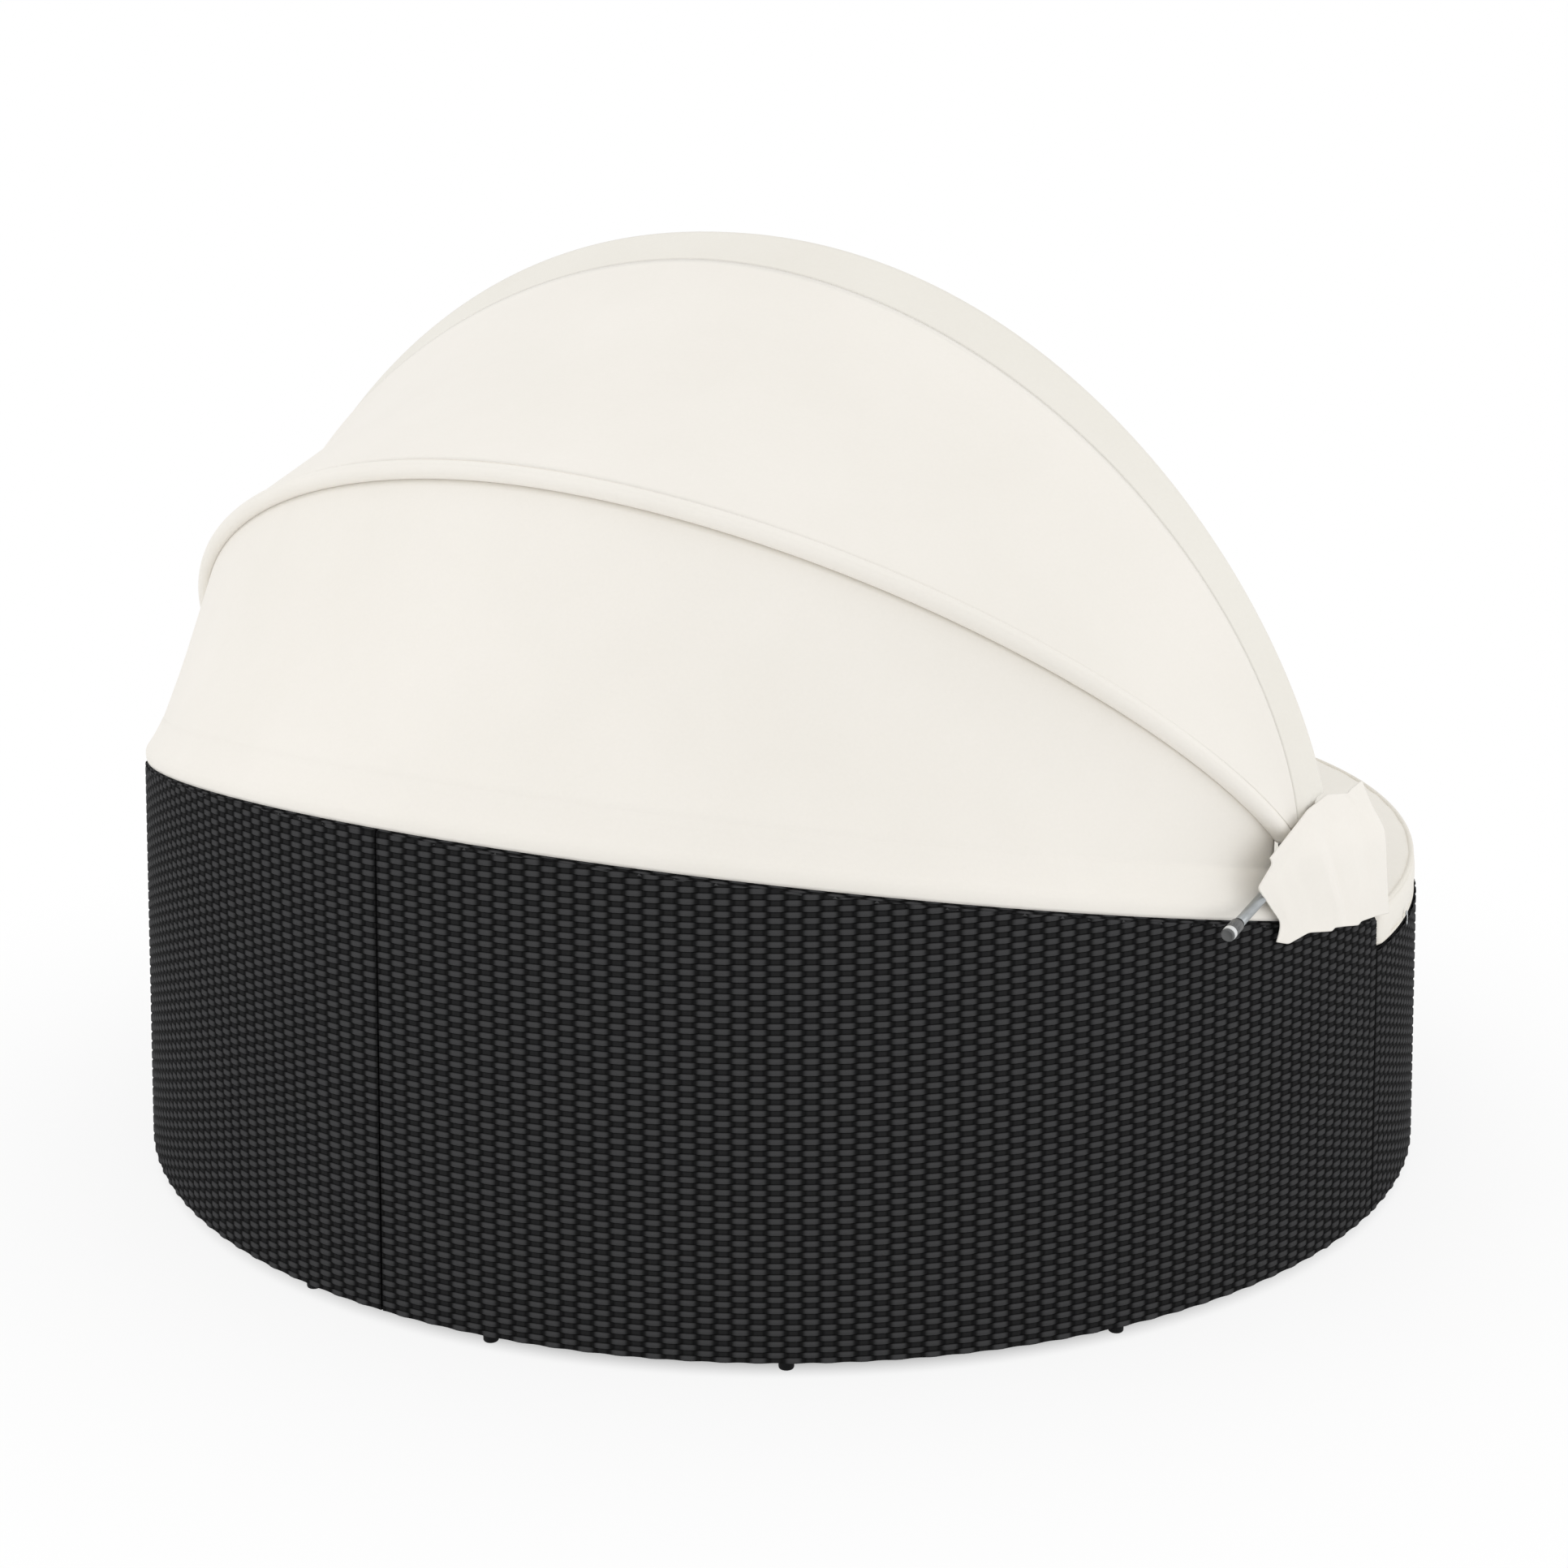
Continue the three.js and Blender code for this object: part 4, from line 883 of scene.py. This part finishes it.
def rounded_plate(centre, wide, tall, thick):
    """A plate with round ends: a superellipse whose edge is rolled in by two more rings."""
    turn = full_turn(32)
    cosine, sine = np.cos(turn), np.sin(turn)
    across = np.sign(cosine) * np.abs(cosine) ** PLATE_POWER * wide / 2
    along = np.sign(sine) * np.abs(sine) ** PLATE_POWER * tall / 2
    rings = []
    for share, depth in ((0, -1), (0.85, -1), (1, -0.5), (1, 0.5), (0.85, 1), (0, 1)):
        rings.append(centre + share * (across[:, None] * aside + along[:, None] * up)
                     + depth * thick / 2 * out)
    return grid(np.stack(rings), loop=True)


middle = middle - PULL_DROP * up + PULL_STAND * out
turn = full_turn(20)[:, None]
circle = np.cos(turn) * aside + np.sin(turn) * up
# The tag, the slider's body and the eye under the tag
pull_parts = [
    rounded_plate(middle - 1 * MM * up, 3.4 * MM, 11 * MM, 1.2 * MM),
    rounded_plate(middle + 6 * MM * up - 1.5 * MM * out, 7 * MM, 7 * MM, 2.4 * MM),
    tube(middle - 8.6 * MM * up + 2.4 * MM * circle, 0.7 * MM, out, 8, closed=True),
]
pull = piece("front_right_zip_slider", pull_parts, ZINC)
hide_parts("front_right_zip_pull")
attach(pull, "root")

# %% [markdown]
# ## The canopy
#
# Three hoops give the canopy its shape. Each lies in a plane through the hinge line, and its
# points are powers of the cosine and sine of one turn. Powers above 1 give slimmer shoulders than
# an ellipse has, and powers below 1 give squarer ones. The cloth is stretched from the rim to the
# middle hoop, from there to the front hoop, and ends in a band.

# %% The hoops
PIVOT = np.array([0, 214, 612]) * MM
CANOPY_CENTRE = np.array([0, 214, 492]) * MM
# Span and reach in mm, the powers of the cosine and the sine, the angle and the way ahead in mm
HOOPS = {
    "mid": dict(span=928, reach=707, span_share=1.04, reach_share=1.24, angle=43.7, ahead=0),
    "front": dict(span=933, reach=727, span_share=1.04, reach_share=1.2, angle=89, ahead=0),
    "tip": dict(span=961, reach=766, span_share=0.953, reach_share=1.33, angle=90, ahead=44),
}
END_SHARE = 0.02


def outwards(hoop):
    """The way from the hinge line to the hoop's top: cosine back and sine up."""
    angle = math.radians(HOOPS[hoop]["angle"])
    return np.array([0, math.cos(angle), math.sin(angle)])


def forwards(hoop):
    """The way across the hoop's plane, towards the open front."""
    return np.cross([1, 0, 0], outwards(hoop))


def hoop_line(hoop, turn):
    """Span times a power of the cosine across, and reach times a power of the sine out."""
    size = HOOPS[hoop]
    cosine = np.cos(turn)[:, None]
    across = size["span"] * MM * np.sign(cosine) * np.abs(cosine) ** size["span_share"]
    out_way = size["reach"] * MM * np.abs(np.sin(turn))[:, None] ** size["reach_share"]
    return (PIVOT + across * np.array([1, 0, 0]) + out_way * outwards(hoop)
            + size["ahead"] * MM * forwards(hoop))


def hoop_side(hoop, turn):
    """The outward way in the hoop's plane: its tangent crossed with the plane's normal."""
    small = math.radians(1)
    ahead = hoop_line(hoop, np.minimum(turn + small, math.pi))
    behind = hoop_line(hoop, np.maximum(turn - small, 0))
    return unit(np.cross(unit(ahead - behind), forwards(hoop)))


def cloth_turn(share):
    """The cloth stops short of the hinges by the same share of the half circle at each end."""
    return math.pi * (END_SHARE + share * (1 - 2 * END_SHARE))


HEM_END = 251 * MM
HEM_RADIUS = 986 * MM
HEM_START = math.asin(HEM_END / HEM_RADIUS)


def rim_line(share, outset, rise):
    """A line that follows the rim at an outset from the wall and a rise above the rim's plane."""
    angle = (HEM_START + share * (math.pi - 2 * HEM_START))[:, None]
    radius = outer_radius(rim_height(BED_RADIUS * np.sin(angle)))
    height = rim_height(radius * np.sin(angle)) + rise
    return on_drum(angle, radius + outset, height)[:, 0]


for hoop in HOOPS:
    top = hoop_line(hoop, np.array([math.pi / 2]))[0]
    print("Top of the", hoop, "hoop in metres:", [round(float(c), 3) for c in top])

# %% [markdown]
# The rear panel starts as a hem that stands on the rim, turns inwards over the hidden rail and
# rises to the middle hoop, where it tucks in under the rolled sleeve. Cloth that is pulled from
# two curved edges draws in between them, so the panel sags by the product of two sines. Soft
# folds start at the hem and at the ends, where less cloth is gathered.

# %% Rear panel
CLOTH = 1.6 * MM
REAR_SAG = 22 * MM
FRONT_SAG = 6 * MM
SIDE_SAG = 13 * MM
SLEEVE_RADIUS = 13.2 * MM
TUCK_LIMIT = 944 * MM
TUCK_EASE = 30 * MM
TUCK_HEIGHT = 662 * MM


def tucked(points):
    """Draws points near the hinges in under the flaps: a limit on the way out, eased off above."""
    limit = TUCK_LIMIT + TUCK_EASE * smooth((points[..., 2] - TUCK_HEIGHT) / TUCK_EASE)
    points = points.copy()
    points[..., 0] = np.clip(points[..., 0], -limit, limit)
    return points


def across_way(points):
    """The unit normal of a grid: the way along it crossed with the way across it."""
    return unit(np.cross(np.gradient(points, axis=0), np.gradient(points, axis=1)))


def soft_folds(share, fall, seed):
    """A few broad sines whose lines lean with the fall, each strongest at one place."""
    random = np.random.default_rng(seed)
    total = np.zeros(np.broadcast(share, fall).shape)
    for centre, width, lean, size in zip(
            random.uniform(0.08, 0.92, 9), random.uniform(0.012, 0.03, 9),
            random.uniform(-0.1, 0.1, 9), random.uniform(-1, 1, 9)):
        place = (share - centre - lean * fall) / width
        total = total + size * np.exp(-place ** 2) * np.sin(math.pi * fall) ** 0.7
    return total


def sheet_uv(points):
    """The cloth's own metres: lengths added up along the middle line of each way."""
    along = lengths(points[:, points.shape[1] // 2])
    across = lengths(points[points.shape[0] // 2])
    return np.stack(np.broadcast_arrays(along[:, None], across[None, :]), -1)


def cloth_piece(name, points, finish):
    """A sheet with its thickness."""
    obj = piece(name, [grid(points, uv=sheet_uv(points))], finish)
    wall = obj.modifiers.new("cloth thickness", "SOLIDIFY")
    wall.thickness = CLOTH
    wall.offset = 0
    apply_modifiers(obj)
    obj.data.polygons.foreach_set("use_smooth", np.ones(len(obj.data.polygons), dtype=bool))
    return obj


def set_blend(obj, share):
    """Bakes the sheet's place into its points. share is not used."""
    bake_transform(obj)


def lines_grid(lines):
    """Stacks lines side by side as the columns of one grid."""
    return np.stack(lines, axis=1)


SHARE = np.linspace(0, 1, 241)
# The hem's section: out from the wall and up from the rim's plane, in mm
HEM_PROFILE = [(-3.0, -3.0), (-1.6, 2), (-1.2, 8), (-1.6, 13), (-3.4, 17.5), (-7.5, 23), (-15.5, 35),
               (-24, 50), (-29, 59.5), (-30.2, 60.5), (-31.5, 64)]
HEM_OUTSET = 1.2
SHOULDER_HANG = 3.5 * MM
LEFT_HANG = 1.7
PULL_DEPTH = 0.85
PULL_PLACE = 0.17
PULL_WIDTH = 0.11
REAR_TUCK_IN = 9 * MM
REAR_TUCK_BACK = 9.5 * MM
REAR_FOLD_HEIGHT = 2.2 * MM
FRONT_FOLD_HEIGHT = 1.4 * MM


def sleeve_shoulder(turn):
    """Where the hoop bends most, the cloth hangs a little outside it, more so on the left: the
    hang times the squared sine of twice the turn."""
    hang = SHOULDER_HANG * np.where(turn < math.pi / 2, LEFT_HANG, 1.0)
    return (hang * np.sin(2 * turn) ** 2)[:, None]


def rear_panel_points():
    """The hem's lines along the rim, then straight ways up to the hoop that sag inwards by a
    product of two sines, and folds along their normal."""
    hem = [rim_line(SHARE, (outset + HEM_OUTSET) * MM, rise * MM) for outset, rise in HEM_PROFILE]
    turn = cloth_turn(SHARE)
    side = hoop_side("mid", turn)
    top = hoop_line("mid", turn) + (sleeve_shoulder(turn) - REAR_TUCK_IN) * side
    top = top - REAR_TUCK_BACK * forwards("mid")
    start = hem[-1]
    fall = np.linspace(0, 1, 45)[1:]
    # The cloth is pulled nearly straight on the left, where the photograph shows its outline
    pulled = 1 - PULL_DEPTH * np.exp(-((SHARE - PULL_PLACE) / PULL_WIDTH) ** 2)
    sag = REAR_SAG * (pulled * np.sin(math.pi * SHARE))[:, None] * np.sin(math.pi * fall)[None, :]
    body = start[:, None] + fall[None, :, None] * (top - start)[:, None]
    body = body + sag[..., None] * unit(CANOPY_CENTRE - body)
    points = np.concatenate([lines_grid(hem), body], axis=1)
    folds = soft_folds(SHARE[:, None], fall[None, :], 3)
    normal = across_way(points)
    points[:, len(hem):] += (REAR_FOLD_HEIGHT * folds)[..., None] * normal[:, len(hem):]
    return points


rear = rear_panel_points()
rear_cloth = cloth_piece("canopy_rear_cloth", rear, CANOPY)
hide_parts("canopy_rear_panel")


def way_share(obj, low_line, high_line):
    """Each point's share of the way from one line to another, found from its two distances."""
    places = points_of(obj)
    near = []
    for line in (low_line, high_line):
        gaps = [np.linalg.norm(places[i:i + 2000, None] - line[None, ::4], axis=-1).min(axis=1)
                for i in range(0, len(places), 2000)]
        near.append(np.concatenate(gaps))
    return smooth(near[0] / (near[0] + near[1] + 1e-9))


# The hem's first nine lines stay on the rim
HEM_LINES = 9
hem_points = rear[:, :HEM_LINES].reshape(-1, 3)
set_blend(rear_cloth, way_share(rear_cloth, hem_points, rear[:, -1]))

# %% [markdown]
# The sleeve on the middle hoop is the cloth rolled round the tube, about 26 mm thick. The front
# panel leaves it at the top, nearly flush, and goes to the front hoop.

# %% Middle sleeve and front panel
turn = cloth_turn(np.linspace(0, 1, 241))
sleeve_path = hoop_line("mid", turn) + sleeve_shoulder(turn) * hoop_side("mid", turn)
sleeve = piece("canopy_mid_sleeve", [tube(sleeve_path, SLEEVE_RADIUS, forwards("mid"), 28)], CANOPY)
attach(sleeve, "mid_bow")


FRONT_LIFT = 9.5 * MM
CREASE_HALF = 0.4 * MM
MID_LIFT = 11 * MM
MID_AHEAD = 8 * MM


def front_panel_points():
    """Straight ways from the middle hoop to the front one, which sag towards the canopy's centre by
    a sum of two sines along the hoops times a sine across, deepest nearer the front, and folds."""
    turn = cloth_turn(SHARE)
    low = hoop_line("mid", turn) + MID_LIFT * hoop_side("mid", turn) + MID_AHEAD * forwards("mid")
    high = hoop_line("front", turn) + FRONT_LIFT * hoop_side("front", turn)
    high = high - CREASE_HALF * forwards("front")
    rise = np.linspace(0, 1, 49)
    across = FRONT_SAG * np.sin(math.pi * SHARE)
    across = across + SIDE_SAG * np.abs(np.sin(2 * math.pi * SHARE))
    sag = across[:, None] * np.sin(math.pi * rise ** 1.25)[None, :]
    points = low[:, None] + rise[None, :, None] * (high - low)[:, None]
    points = points + sag[..., None] * unit(CANOPY_CENTRE - points)
    folds = soft_folds(SHARE[:, None], rise[None, :], 11)
    return tucked(points + (FRONT_FOLD_HEIGHT * folds)[..., None] * across_way(points))


front = front_panel_points()
front_cloth = cloth_piece("canopy_front_cloth", front, CANOPY)
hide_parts("canopy_front_panel")
front_share = way_share(front_cloth, front[:, 0], front[:, -1])
set_blend(front_cloth, front_share)

# %% [markdown]
# The band at the opening bends sharply over the front hoop, so it catches less light than the
# panel behind it, and its cloth is painted darker too, as painted shade. Its own edge is folded round a
# thin tip hoop.

# %% Front band
TIP_ROLL = 6.6 * MM
FRONT_SLEEVE_RADIUS = 8.6 * MM
FRONT_SLEEVE_LIFT = 1 * MM


def front_band_points():
    """Straight ways from the crease to the tip hoop, then a part of a circle round that hoop."""
    turn = cloth_turn(SHARE)
    low = hoop_line("front", turn) + FRONT_LIFT * hoop_side("front", turn)
    low = low + CREASE_HALF * forwards("front")
    tip = hoop_line("tip", turn)
    side = hoop_side("tip", turn)
    high = tip + TIP_ROLL * side
    rise = np.linspace(0, 1, 13)
    body = low[:, None] + rise[None, :, None] * (high - low)[:, None]
    fold = []
    for angle in np.radians([30, 60, 90, 130, 170]):
        fold.append(tip + TIP_ROLL * (math.cos(angle) * side + math.sin(angle) * forwards("tip")))
    return tucked(np.concatenate([body, lines_grid(fold)], axis=1))


band = front_band_points()
band_cloth = cloth_piece("canopy_band_cloth", band, BAND_PAINTED_SHADE)
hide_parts("canopy_front_band")
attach(band_cloth, "front_bow")

turn = cloth_turn(np.linspace(0.02, 0.98, 161))
sleeve_path = hoop_line("front", turn) + FRONT_SLEEVE_LIFT * hoop_side("front", turn)
front_sleeve = piece("canopy_front_sleeve", [
    tube(sleeve_path, FRONT_SLEEVE_RADIUS, forwards("front"), 16)], CANOPY)
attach(front_sleeve, "front_bow")

# %% [markdown]
# ## Flaps over the hinges
#
# A loose flap of canopy cloth hides each hinge. Its cut edge hangs free and waves, and three soft
# folds fall from the bolt. Four edge lines give its outline, each from a few places to the nearest
# 5 mm: out from the middle, back from the modules' seam and up from the floor. A patch fills them:
# the sum of the two ways to join opposite edges, less the bilinear form of the four corners.

# %% Flap
FLAP_TOP = [(945, 320, 620), (945, 265, 635), (950, 205, 660),
            (950, 135, 665), (950, 60, 650), (950, 0, 655)]
FLAP_REAR = [(945, 320, 620), (945, 310, 610), (940, 345, 585),
             (950, 285, 525), (950, 285, 515), (950, 295, 500)]
FLAP_BOTTOM = [(950, 295, 500), (955, 265, 490), (965, 220, 495), (980, 165, 485), (980, 165, 490),
               (990, 90, 475), (990, 90, 480), (995, 40, 475), (995, -15, 465)]
FLAP_FRONT = [(950, 0, 655), (965, -5, 620), (985, -5, 590),
              (990, 0, 570), (995, -5, 500), (995, -15, 465)]
CORNER_PASSES = 12
FLAP_FOLD_HEIGHT = 5 * MM
BOLT_BULGE = 3 * MM
BOLT_REACH = 30 * MM
TENT_HEIGHT = 2 * MM
# Each fold's place along the flap, its lean, its width and its height, as shares
FLAP_FOLDS = [(0.12, -0.05, 0.05, 0.6), (0.27, 0.0, 0.05, -0.5), (0.4, 0.05, 0.045, 0.9),
              (0.5, 0.04, 0.04, -0.9), (0.66, 0.03, 0.05, 0.5), (0.8, 0.02, 0.05, -0.5)]


def even_line(places, count):
    """Spreads points evenly along the lines that join the places, then rounds the corners: a dozen
    times, each point goes half the way to the middle of its two neighbours."""
    line = np.array(places, float) * MM
    length = lengths(line)
    place = np.linspace(0, length[-1], count)
    line = np.stack([np.interp(place, length, line[:, i]) for i in range(3)], -1)
    for step in range(CORNER_PASSES):
        line[1:-1] = (line[:-2] + 2 * line[1:-1] + line[2:]) / 4
    return line


def flap_points():
    """The patch between the four edge lines. Each fold stands out by a bell curve along the flap,
    grows downwards, and the bolt and the tube push out two more."""
    columns, rows = 181, 91
    top, bottom = even_line(FLAP_TOP, columns), even_line(FLAP_BOTTOM, columns)
    rear, fore = even_line(FLAP_REAR, rows), even_line(FLAP_FRONT, rows)
    s = np.linspace(0, 1, columns)[:, None, None]
    t = np.linspace(0, 1, rows)[None, :, None]
    between = (1 - t) * top[:, None] + t * bottom[:, None] + (1 - s) * rear[None] + s * fore[None]
    corners = ((1 - s) * (1 - t) * top[0] + s * (1 - t) * top[-1]
               + (1 - s) * t * bottom[0] + s * t * bottom[-1])
    points = between - corners
    s, t = s[..., 0], t[..., 0]
    folds = np.zeros(s.shape)
    for centre, lean, width, size in FLAP_FOLDS:
        folds = folds + size * np.exp(-((s - centre - lean * t) / width) ** 2)
    points[..., 0] += FLAP_FOLD_HEIGHT * folds * np.sin(math.pi * t) ** 0.5 * (0.3 + 0.7 * t)
    # The cloth rides over the bolt head and, at the front, is tented by the end of the tube
    from_bolt = (points[..., 1:] - PIVOT[1:]) / BOLT_REACH
    over_bolt = np.exp(-(from_bolt ** 2).sum(axis=-1))
    crease = np.exp(-((s - 0.93 + 0.5 * (0.22 - t)) / 0.025) ** 2) * np.exp(-(t / 0.16) ** 2)
    points[..., 0] += BOLT_BULGE * over_bolt + TENT_HEIGHT * crease
    return points


for side, name in ((1, "left"), (-1, "right")):
    shape = flap_points() * np.array([side, 1, 1])
    flap = cloth_piece(name + "_flap_cloth", shape, CANOPY)
    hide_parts(name + "_hinge_flap")
    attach(flap, "root")

# %% [markdown]
# ## Side bars
#
# A grey aluminium tube lies beside each hinge. Its end caps are stepped: a groove in painted shade,
# given the feet's black nylon, a dark collar with small slots, a bright ring and a dark face. Each
# part of a cap is its own turned piece, because each has its own finish.

# %% Tubes and caps
BAR_PLACE = 937 * MM
BAR_RADIUS = 7.2 * MM
BAR_SLOPE = -0.186
BAR_DROP = 26.5 * MM
CAP_RADIUS = 9.4 * MM
BAR_FRONT = 36 * MM
BAR_REAR = 398 * MM
SLOT_FIRST = 18.5 * MM
SLOT_LAST = 22.7 * MM
SLOT_DEPTH = 0.1


def bar_point(side, y):
    """A place on the bar's axis: below the hinge line by the drop, plus the slope times y."""
    return np.array([side * BAR_PLACE, y, PIVOT[2] - BAR_DROP + BAR_SLOPE * (y - PIVOT[1])])


def slotted(profile, place, direction):
    """A lathe form with pairs of slots between two places on its axis, where the radius drops."""
    sides = 96
    points, quads, uv = turned(profile, place, direction, sides=sides)
    centre = np.asarray(place, float)
    direction = unit(np.asarray(direction, float))
    offset = points - centre
    way = offset @ direction
    ring = offset - way[:, None] * direction
    pair = np.tile([0, 0, 0, 1, 1, 0, 0, 1, 1, 0, 0, 0], sides // 12)
    drop = np.tile(pair, len(points) // sides) * ((way > SLOT_FIRST) & (way < SLOT_LAST))
    return centre + way[:, None] * direction + ring * (1 - SLOT_DEPTH * drop[:, None]), quads, uv


def profile_mm(*pairs):
    """A cap's profile: how far each point lies inside the cap's radius, and its way out, in mm. It
    starts and ends on the axis."""
    points = [(CAP_RADIUS - inside * MM, way * MM) for inside, way in pairs]
    return [(0, points[0][1]), *points, (0, points[-1][1])]


GROOVE = profile_mm((1.6, 0), (1.6, 4))
COLLAR = profile_mm((0.9, 3.4), (0.2, 4.4), (0.2, 18), (0.2, 18.8), (0.2, 22.4), (0.2, 23.2),
                    (0.2, 24.6), (0.8, 25.2))
BRIGHT_RING = profile_mm((0.3, 25.2), (0, 26), (0, 31.6), (0.4, 32.4))
FACE = profile_mm((1.3, 32.4), (1.3, 33), (0.3, 33.6), (0.3, 35.4), (0.9, 36.6), (2, 37),
                  (2.6, 36.6))

for side, name in ((1, "left"), (-1, "right")):
    along = unit(bar_point(side, 1) - bar_point(side, 0))
    length = float(np.linalg.norm(bar_point(side, BAR_REAR) - bar_point(side, BAR_FRONT)))
    bar_profile = [(0, 0), (BAR_RADIUS - 0.6 * MM, 0), (BAR_RADIUS, 0.6 * MM),
                   *[(BAR_RADIUS, float(v)) for v in np.linspace(0.02, length - 0.02, 12)],
                   (BAR_RADIUS, length - 0.6 * MM), (BAR_RADIUS - 0.6 * MM, length), (0, length)]
    bar = piece(name + "_side_tube", [turned(bar_profile, bar_point(side, BAR_FRONT), along)], TUBE)
    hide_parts(name + "_side_bar")
    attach(bar, "root")
    for end, y, way in (("rear", BAR_REAR, along), ("front", BAR_FRONT, -along)):
        place = bar_point(side, y)
        prefix = name + "_" + end + "_cap_"
        # The groove's black finish is painted shade in the recess between tube and collar
        parts = [piece(prefix + "painted_shade_groove", [turned(GROOVE, place, way)], FOOT),
                 piece(prefix + "collar", [slotted(COLLAR, place, way)], CAP),
                 piece(prefix + "ring", [turned(BRIGHT_RING, place, way)], RING),
                 piece(prefix + "face", [turned(FACE, place, way)], CAP)]
        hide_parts(name + "_bar_" + end + "_cap")
        for part in parts:
            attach(part, "root")

print("Tubes with four caps stand for their CAD bars")

# %% [markdown]
# ## Parts that keep their CAD shape
#
# Frames, brackets, bolts, hoops and the rail have the right shape already. They keep it and get
# their real finish. The seat frames and decks show only from below.

# %% Finishes of the CAD parts
def cad_finish(node):
    """Picks the finish by what the part is made of, which its name tells."""
    if "wicker_shell" in node or "seat_deck" in node:
        return STRIP_INSIDE
    if "bolt" in node or "nut" in node:
        return ZINC
    if "foot" in node:
        return FOOT
    if "cushion" in node or "panel" in node or "band" in node or "flap" in node:
        return CANOPY
    return COAT


for node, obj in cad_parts.items():
    for index in range(len(obj.material_slots)):
        obj.material_slots[index].material = cad_finish(node)
    if not obj.material_slots:
        obj.data.materials.append(cad_finish(node))
print(len(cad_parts), "CAD parts have a finish")

# %% [markdown]
# ## Camera, floor and light
#
# The camera stands behind the bed's right side, a little above it, as the photograph was taken.
# The floor is plain and pale. A picture on white needs a white that doesn't come from more light
# on the object, so the world is white to the camera and to glossy rays, and dimmer as a lamp. The
# floor fades to that white away from the bed, and keeps its soft shadow near it.

# %% Camera
CAMERA_LENS = 60.5
CAMERA_SENSOR = 36
CAMERA_PLACE = (-2.147, 3.436, 1.572)
CAMERA_DOWN = math.radians(14.57)
CAMERA_TURN = math.radians(211.96)

camera_data = bpy.data.cameras.new("camera")
camera_data.lens = CAMERA_LENS
camera_data.sensor_width = CAMERA_SENSOR
camera = bpy.data.objects.new("camera", camera_data)
camera.location = CAMERA_PLACE
camera.rotation_euler = (math.pi / 2 - CAMERA_DOWN, 0, CAMERA_TURN)
bpy.context.scene.collection.objects.link(camera)
bpy.context.scene.camera = camera
print("Camera", round(float(np.linalg.norm(camera.location)), 2), "m from the bed's centre")

# %% World and lamps
world = bpy.data.worlds.new("studio")
bpy.context.scene.world = world
world.use_nodes = True
world.node_tree.nodes.clear()


class Holder:
    """Lets add() put nodes into the world, as it does into a material."""
    node_tree = world.node_tree


WORLD_LIGHT = 0.885
path = add(Holder, "LightPath")
seen = add(Holder, "Math", {
    0: path.outputs["Is Camera Ray"], 1: path.outputs["Is Glossy Ray"]}, operation="MAXIMUM")
seen_through = add(Holder, "Math", {
    0: seen, 1: path.outputs["Is Transmission Ray"]}, operation="MAXIMUM")
strength = add(Holder, "MapRange", {
    "Value": seen_through, "To Min": WORLD_LIGHT, "To Max": 1.0})
sky = add(Holder, "Background", {"Color": (1, 1, 1, 1), "Strength": strength})
add(Holder, "OutputWorld", {"Surface": sky})


def area_lamp(name, place, target, size, power):
    """A square soft lamp that looks from its place to the target."""
    data = bpy.data.lights.new(name, "AREA")
    data.shape = "SQUARE"
    data.size = size
    data.energy = power
    lamp = bpy.data.objects.new(name, data)
    lamp.location = place
    way = Vector(target) - Vector(place)
    lamp.rotation_euler = way.to_track_quat("-Z", "Y").to_euler()
    bpy.context.scene.collection.objects.link(lamp)
    return lamp


area_lamp("top_softbox", (-1.0, 1.5, 4.5), (0, 0, 0.5), 4.0, 16)
area_lamp("side_softbox", (-4.2, -0.6, 1.6), (0, 0, 0.5), 3.0, 18)
area_lamp("fill_softbox", (3.4, 5.0, 1.8), (0, 0, 0.6), 4.5, 46)
print("Lamps and world are set")

# %% Floor
FADE_START = 1.05
FADE_END = 1.95
NEAR_WHITE = 0.84
SHADE_START = 1.01
SHADE_END = 0.92
SHADE_WHITE = 0.2
FLOOR_HALF = 40

floor_material = new_finish("plain white floor")
floor_place = add(floor_material, "TexCoord")
flat_place = add(floor_material, "Mapping", {
    "Vector": floor_place.outputs["Object"], "Scale": (1, 1, 0)})
distance = add(floor_material, "VectorMath", {0: flat_place},
               operation="LENGTH")
fade = add(floor_material, "MapRange", {
    "Value": distance.outputs["Value"], "From Min": FADE_START, "From Max": FADE_END},
    interpolation_type="SMOOTHSTEP")
floor_path = add(floor_material, "LightPath")
camera_ray = add(floor_material, "Math", {
    0: floor_path.outputs["Is Camera Ray"], 1: floor_path.outputs["Is Glossy Ray"]}, operation="MAXIMUM")
floor_share = add(floor_material, "MapRange", {
    "Value": fade, "To Min": NEAR_WHITE})
# Under the bed the floor keeps nearly all of its shadow
under = add(floor_material, "MapRange", {
    "Value": distance.outputs["Value"], "From Min": SHADE_END, "From Max": SHADE_START,
    "To Min": SHADE_WHITE}, interpolation_type="SMOOTHSTEP")
open_share = add(floor_material, "Math", {
    0: floor_share, 1: under}, operation="MULTIPLY")
white_share = add(floor_material, "Math", {
    0: open_share, 1: camera_ray}, operation="MULTIPLY")
matt = add(floor_material, "BsdfDiffuse", {"Color": (0.93, 0.93, 0.93, 1)})
lit = add(floor_material, "Emission", {"Color": (1, 1, 1, 1), "Strength": 1.0})
floor_mix = add(floor_material, "MixShader", {
    0: white_share, 1: matt, 2: lit})
done(floor_material, floor_mix)

corners = FLOOR_HALF * np.array([[[-1, -1, 0], [-1, 1, 0]], [[1, -1, 0], [1, 1, 0]]], float)
floor = piece("studio_floor", [grid(corners)], floor_material, tidy=False)

bpy.context.scene.view_settings.view_transform = "Standard"
